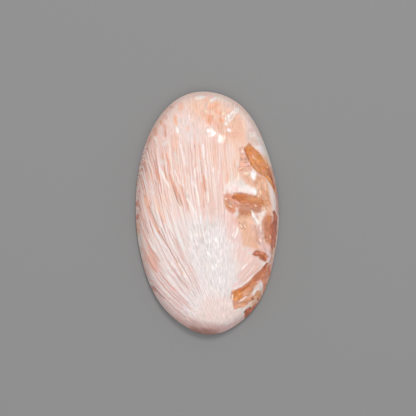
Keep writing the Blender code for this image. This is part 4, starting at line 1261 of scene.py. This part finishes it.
def bake_map(mesh, stone, top_faces):
    """A flat map of the stone: the top with its wall laid out round it, and beside it the smaller back."""
    reach = stone.run - stone.blank_radius
    top = np.stack([stone.x + reach * np.cos(stone.angle), stone.y + reach * np.sin(stone.angle)], axis=1)
    back = np.stack([-stone.x, stone.y], axis=1)
    top_span = top[: stone.starts[TOP_RINGS]]
    low = top_span.min(axis=0)
    size = top_span.max(axis=0) - low
    side = size[1] + 2 * MAP_MARGIN
    back_scale = (side - size[0] - 3 * MAP_MARGIN) / (2 * HALF_WIDTH)
    top = (top - low + MAP_MARGIN) / side
    back = (back + (HALF_WIDTH, HALF_LENGTH)) * back_scale
    back = (back + (size[0] + 2 * MAP_MARGIN, MAP_MARGIN)) / side
    corners = np.zeros(len(mesh.loops), np.int32)
    mesh.loops.foreach_get("vertex_index", corners)
    places = np.where(np.arange(len(corners))[:, None] < 3 * top_faces, top[corners], back[corners])
    layer = mesh.uv_layers.new(name="OFBake")
    layer.data.foreach_set("uv", places.astype(np.float32).ravel())


class Nodes:
    """Adds shader nodes by kind, with their settings and what feeds them."""

    def __init__(self, tree):
        self.tree = tree

    def add(self, kind, feeds=None, **settings):
        node = self.tree.nodes.new(kind)
        for name, value in settings.items():
            setattr(node, name, value)
        for socket, value in (feeds or {}).items():
            if isinstance(value, bpy.types.NodeSocket):
                self.tree.links.new(value, node.inputs[socket])
            else:
                node.inputs[socket].default_value = value
        return node

    def attribute(self, name, output):
        return self.add("ShaderNodeAttribute", attribute_name=name).outputs[output]

    def math(self, operation, first, second=0.0):
        return self.add("ShaderNodeMath", {0: first, 1: second}, operation=operation).outputs[0]

    def between(self, value, low, high, to_low=0.0, to_high=1.0):
        feeds = {"Value": value, "From Min": low, "From Max": high, "To Min": to_low, "To Max": to_high}
        return self.add("ShaderNodeMapRange", feeds, interpolation_type="SMOOTHSTEP").outputs["Result"]

    def mix(self, factor, first, second):
        return self.add("ShaderNodeMix", {0: factor, 6: first, 7: second}, data_type="RGBA").outputs[2]

    def mix_numbers(self, factor, first, second):
        return self.add("ShaderNodeMix", {0: factor, 2: first, 3: second}, data_type="FLOAT").outputs[0]

    def brighten(self, colour, factor):
        return self.add("ShaderNodeVectorMath", {0: colour, "Scale": factor}, operation="SCALE").outputs[0]

    def flush(self, colour, kept):
        return self.add("ShaderNodeVectorMath", {0: colour, 1: kept}, operation="MULTIPLY").outputs[0]

    def noise(self, x, y, z, detail):
        place = self.add("ShaderNodeCombineXYZ", {"X": x, "Y": y, "Z": z}).outputs[0]
        feeds = {"Vector": place, "Scale": 1.0, "Detail": detail, "Roughness": NOISE_ROUGHNESS}
        return self.add("ShaderNodeTexNoise", feeds).outputs["Fac"]


def needle_noise(nodes, grain, kind):
    """Noise drawn out along the needles, about as coarse near the root as far from it."""
    pitch, length, detail = kind
    deep = nodes.math("DIVIDE", grain.outputs["Y"], SECTION_STRETCH * pitch)
    far = nodes.math("DIVIDE", grain.outputs["Z"], length)
    blended = None
    for reach, nearer in zip(NEEDLE_REACHES, (None,) + NEEDLE_REACHES):
        across = nodes.math("MULTIPLY", grain.outputs["X"], reach / pitch)
        value = nodes.noise(across, deep, far, detail)
        if blended is None:
            blended = value
        else:
            first, last = REACH_BLEND
            share = nodes.between(grain.outputs["Z"], first * nearer, last * nearer)
            blended = nodes.mix_numbers(share, blended, value)
    return blended


def facet_noise(nodes, facet, kind):
    """Noise drawn out along each crystal."""
    pitch, length, detail = kind
    across = nodes.math("DIVIDE", facet.outputs["X"], pitch)
    along = nodes.math("DIVIDE", facet.outputs["Y"], length)
    return nodes.noise(across, along, facet.outputs["Z"], detail)


def grained(nodes, colour, value, spread, shown, shares, kept):
    """A colour with noise in it, whitened where the noise is low and multiplied by kept where it is high."""
    start, end = spread
    pale, flushed = shares
    white = (*paint_colour("white"), 1)
    high = nodes.math("MULTIPLY", nodes.between(value, start, end), shown)
    colour = nodes.mix(nodes.math("MULTIPLY", high, flushed), colour, nodes.flush(colour, kept))
    low = nodes.math("MULTIPLY", nodes.between(value, 1 - start, 1 - end), shown)
    return nodes.mix(nodes.math("MULTIPLY", low, pale), colour, white)


def new_material(name, finish):
    """A material with its shader, whose own sockets are set to what finish says."""
    material = bpy.data.materials.new(name)
    material.use_nodes = True
    shader = material.node_tree.nodes["Principled BSDF"]
    for socket, value in finish.items():
        shader.inputs[socket].default_value = value
    return material, shader


def stone_material():
    material, shader = new_material("polished_scolecite", STONE_FINISH)
    tree = material.node_tree
    nodes = Nodes(tree)

    painted = nodes.attribute("tint", "Color")
    streaking = nodes.attribute("streaking", "Fac")
    seaming = nodes.attribute("seaming", "Fac")
    sparkling = nodes.attribute("sparkling", "Fac")
    striae = nodes.attribute("striae", "Fac")
    grain = nodes.add("ShaderNodeSeparateXYZ", {0: nodes.attribute("grain", "Vector")})
    facet = nodes.add("ShaderNodeSeparateXYZ", {0: nodes.attribute("facet", "Vector")})
    side = nodes.flush(painted, SIDE_FLUSH)
    tint = nodes.mix(nodes.between(grain.outputs["Y"], 0.0, SIDE_DEPTH), painted, side)

    bands = needle_noise(nodes, grain, BANDS)
    stripes = needle_noise(nodes, grain, STRIPES)
    hairlines = needle_noise(nodes, grain, HAIRLINES)
    seams = needle_noise(nodes, grain, SEAMS)
    granules = needle_noise(nodes, grain, GRANULES)
    mottles = needle_noise(nodes, grain, MOTTLES)
    colour = grained(nodes, tint, bands, SOFT_GRAIN, streaking, BAND_SHARES, FLUSH)
    colour = grained(nodes, colour, stripes, SOFT_GRAIN, streaking, STRIPE_SHARES, FLUSH)
    colour = grained(nodes, colour, hairlines, SOFT_GRAIN, streaking, HAIRLINE_SHARES, FLUSH)
    colour = grained(nodes, colour, seams, CRISP_GRAIN, seaming, SEAM_SHARES, SEAM)

    lines = facet_noise(nodes, facet, STRIATIONS)
    clouds = facet_noise(nodes, facet, CLOUDS)
    dim = nodes.math("MULTIPLY", nodes.between(lines, *STRIA_SHADE), nodes.between(clouds, *CLOUD_SHADE))
    cream = (*paint_colour("cream"), 1)
    striated = nodes.mix(nodes.between(lines, *STRIA_GLOW), nodes.brighten(tint, dim), cream)
    colour = nodes.mix(striae, colour, striated)

    shade = nodes.mix_numbers(sparkling, 1.0, nodes.between(granules, *GRANULE_SHADE))
    patch = nodes.mix_numbers(sparkling, 1.0, nodes.between(mottles, *MOTTLE_SHADE))
    colour = nodes.brighten(colour, nodes.math("MULTIPLY", shade, patch))
    tree.links.new(colour, shader.inputs["Base Color"])

    tree.links.new(nodes.between(hairlines, *POLISH), shader.inputs["Roughness"])
    strength, depth = BUMP
    bump = nodes.add("ShaderNodeBump", {"Height": granules, "Strength": strength, "Distance": depth * MM})
    tree.links.new(bump.outputs[0], shader.inputs["Normal"])
    return material


def add_object(name, data):
    """A new object in the scene, with its mesh, light or camera."""
    obj = bpy.data.objects.new(name, data)
    bpy.context.scene.collection.objects.link(obj)
    return obj


def make_stone():
    stone = Stone()
    faces, top_faces = stone.faces()
    mesh = bpy.data.meshes.new("fine_cabochon")
    points = np.stack([stone.x, stone.y, stone.z], axis=1) * MM
    mesh.from_pydata(points.tolist(), [], faces)
    mesh.shade_smooth()
    bake_map(mesh, stone, top_faces)

    deep = np.maximum(0, SHOULDER_HEIGHT - stone.z)
    drift_x, drift_y = WALL_DRIFT
    painter = paint_stone(stone.x + drift_x * deep, stone.y + drift_y * deep, slope_light(mesh))
    tint = mesh.attributes.new("tint", "FLOAT_COLOR", "POINT")
    tint.data.foreach_set("color", np.c_[painter.tint, np.ones(len(stone.x))].astype(np.float32).ravel())
    far = np.hypot(stone.x - ROOT[0], stone.y - ROOT[1])
    add_vectors(mesh, "grain", painter.needle, deep, far)
    add_vectors(mesh, "facet", *painter.facet.T)
    add_floats(mesh, "streaking", painter.relief[:, 0])
    add_floats(mesh, "seaming", painter.relief[:, 1])
    add_floats(mesh, "sparkling", painter.sparkle)
    add_floats(mesh, "striae", painter.striae)

    mesh.materials.append(stone_material())
    piece = add_object("fine_cabochon", mesh)
    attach(piece, "root")
    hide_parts("cabochon")


def make_floor():
    mesh = bpy.data.meshes.new("floor")
    side = FLOOR_HALF
    corners = [(-side, -side, 0), (side, -side, 0), (side, side, 0), (-side, side, 0)]
    mesh.from_pydata(corners, [], [(0, 1, 2, 3)])
    material, shader = new_material("floor", FLOOR_FINISH)
    shader.inputs["Base Color"].default_value = (*linear(FLOOR_COLOUR), 1)
    mesh.materials.append(material)
    add_object("floor", mesh)


def area_light(name, slant, distance, size, power, glossy, spin):
    """A light that looks at the stone."""
    light = bpy.data.lights.new(name, "AREA")
    light.shape = "ELLIPSE"
    light.size, light.size_y = size
    light.energy = power
    obj = add_object(name, light)
    obj.visible_camera = False
    obj.visible_glossy = glossy
    direction = Vector((*slant, 1.0)).normalized()
    obj.location = direction * distance
    obj.rotation_euler = direction.to_track_quat("Z", "Y").to_euler()
    obj.rotation_euler.rotate_axis("Z", math.radians(spin))


def make_lights():
    for light in LIGHTS:
        area_light(*light)
    world = bpy.data.worlds.new("studio")
    world.use_nodes = True
    background = world.node_tree.nodes["Background"]
    background.inputs["Color"].default_value = (1, 1, 1, 1)
    background.inputs["Strength"].default_value = ROOM_LIGHT
    bpy.context.scene.world = world
    bpy.context.scene.view_settings.view_transform = "Standard"


def make_camera():
    """Looks straight down, turned so that the stone's upper end leans left as it does in the photograph."""
    data = bpy.data.cameras.new("camera")
    data.sensor_width = SENSOR
    view_side = PHOTO_SIDE / PIXELS_PER_MM * MM
    data.lens = SENSOR * CAMERA_HEIGHT / view_side
    data.clip_start, data.clip_end = CAMERA_CLIP
    camera = add_object("camera", data)
    off_x = (PHOTO_SIDE / 2 - STONE_MIDDLE[0]) / PIXELS_PER_MM * MM
    off_y = (STONE_MIDDLE[1] - PHOTO_SIDE / 2) / PIXELS_PER_MM * MM
    turned_x = off_x * math.cos(STONE_TILT) + off_y * math.sin(STONE_TILT)
    turned_y = -off_x * math.sin(STONE_TILT) + off_y * math.cos(STONE_TILT)
    camera.location = (turned_x, turned_y, CAMERA_HEIGHT + GIRDLE_HEIGHT * MM)
    camera.rotation_euler = (0, 0, -STONE_TILT)
    bpy.context.scene.camera = camera


make_stone()
make_floor()
make_lights()
make_camera()
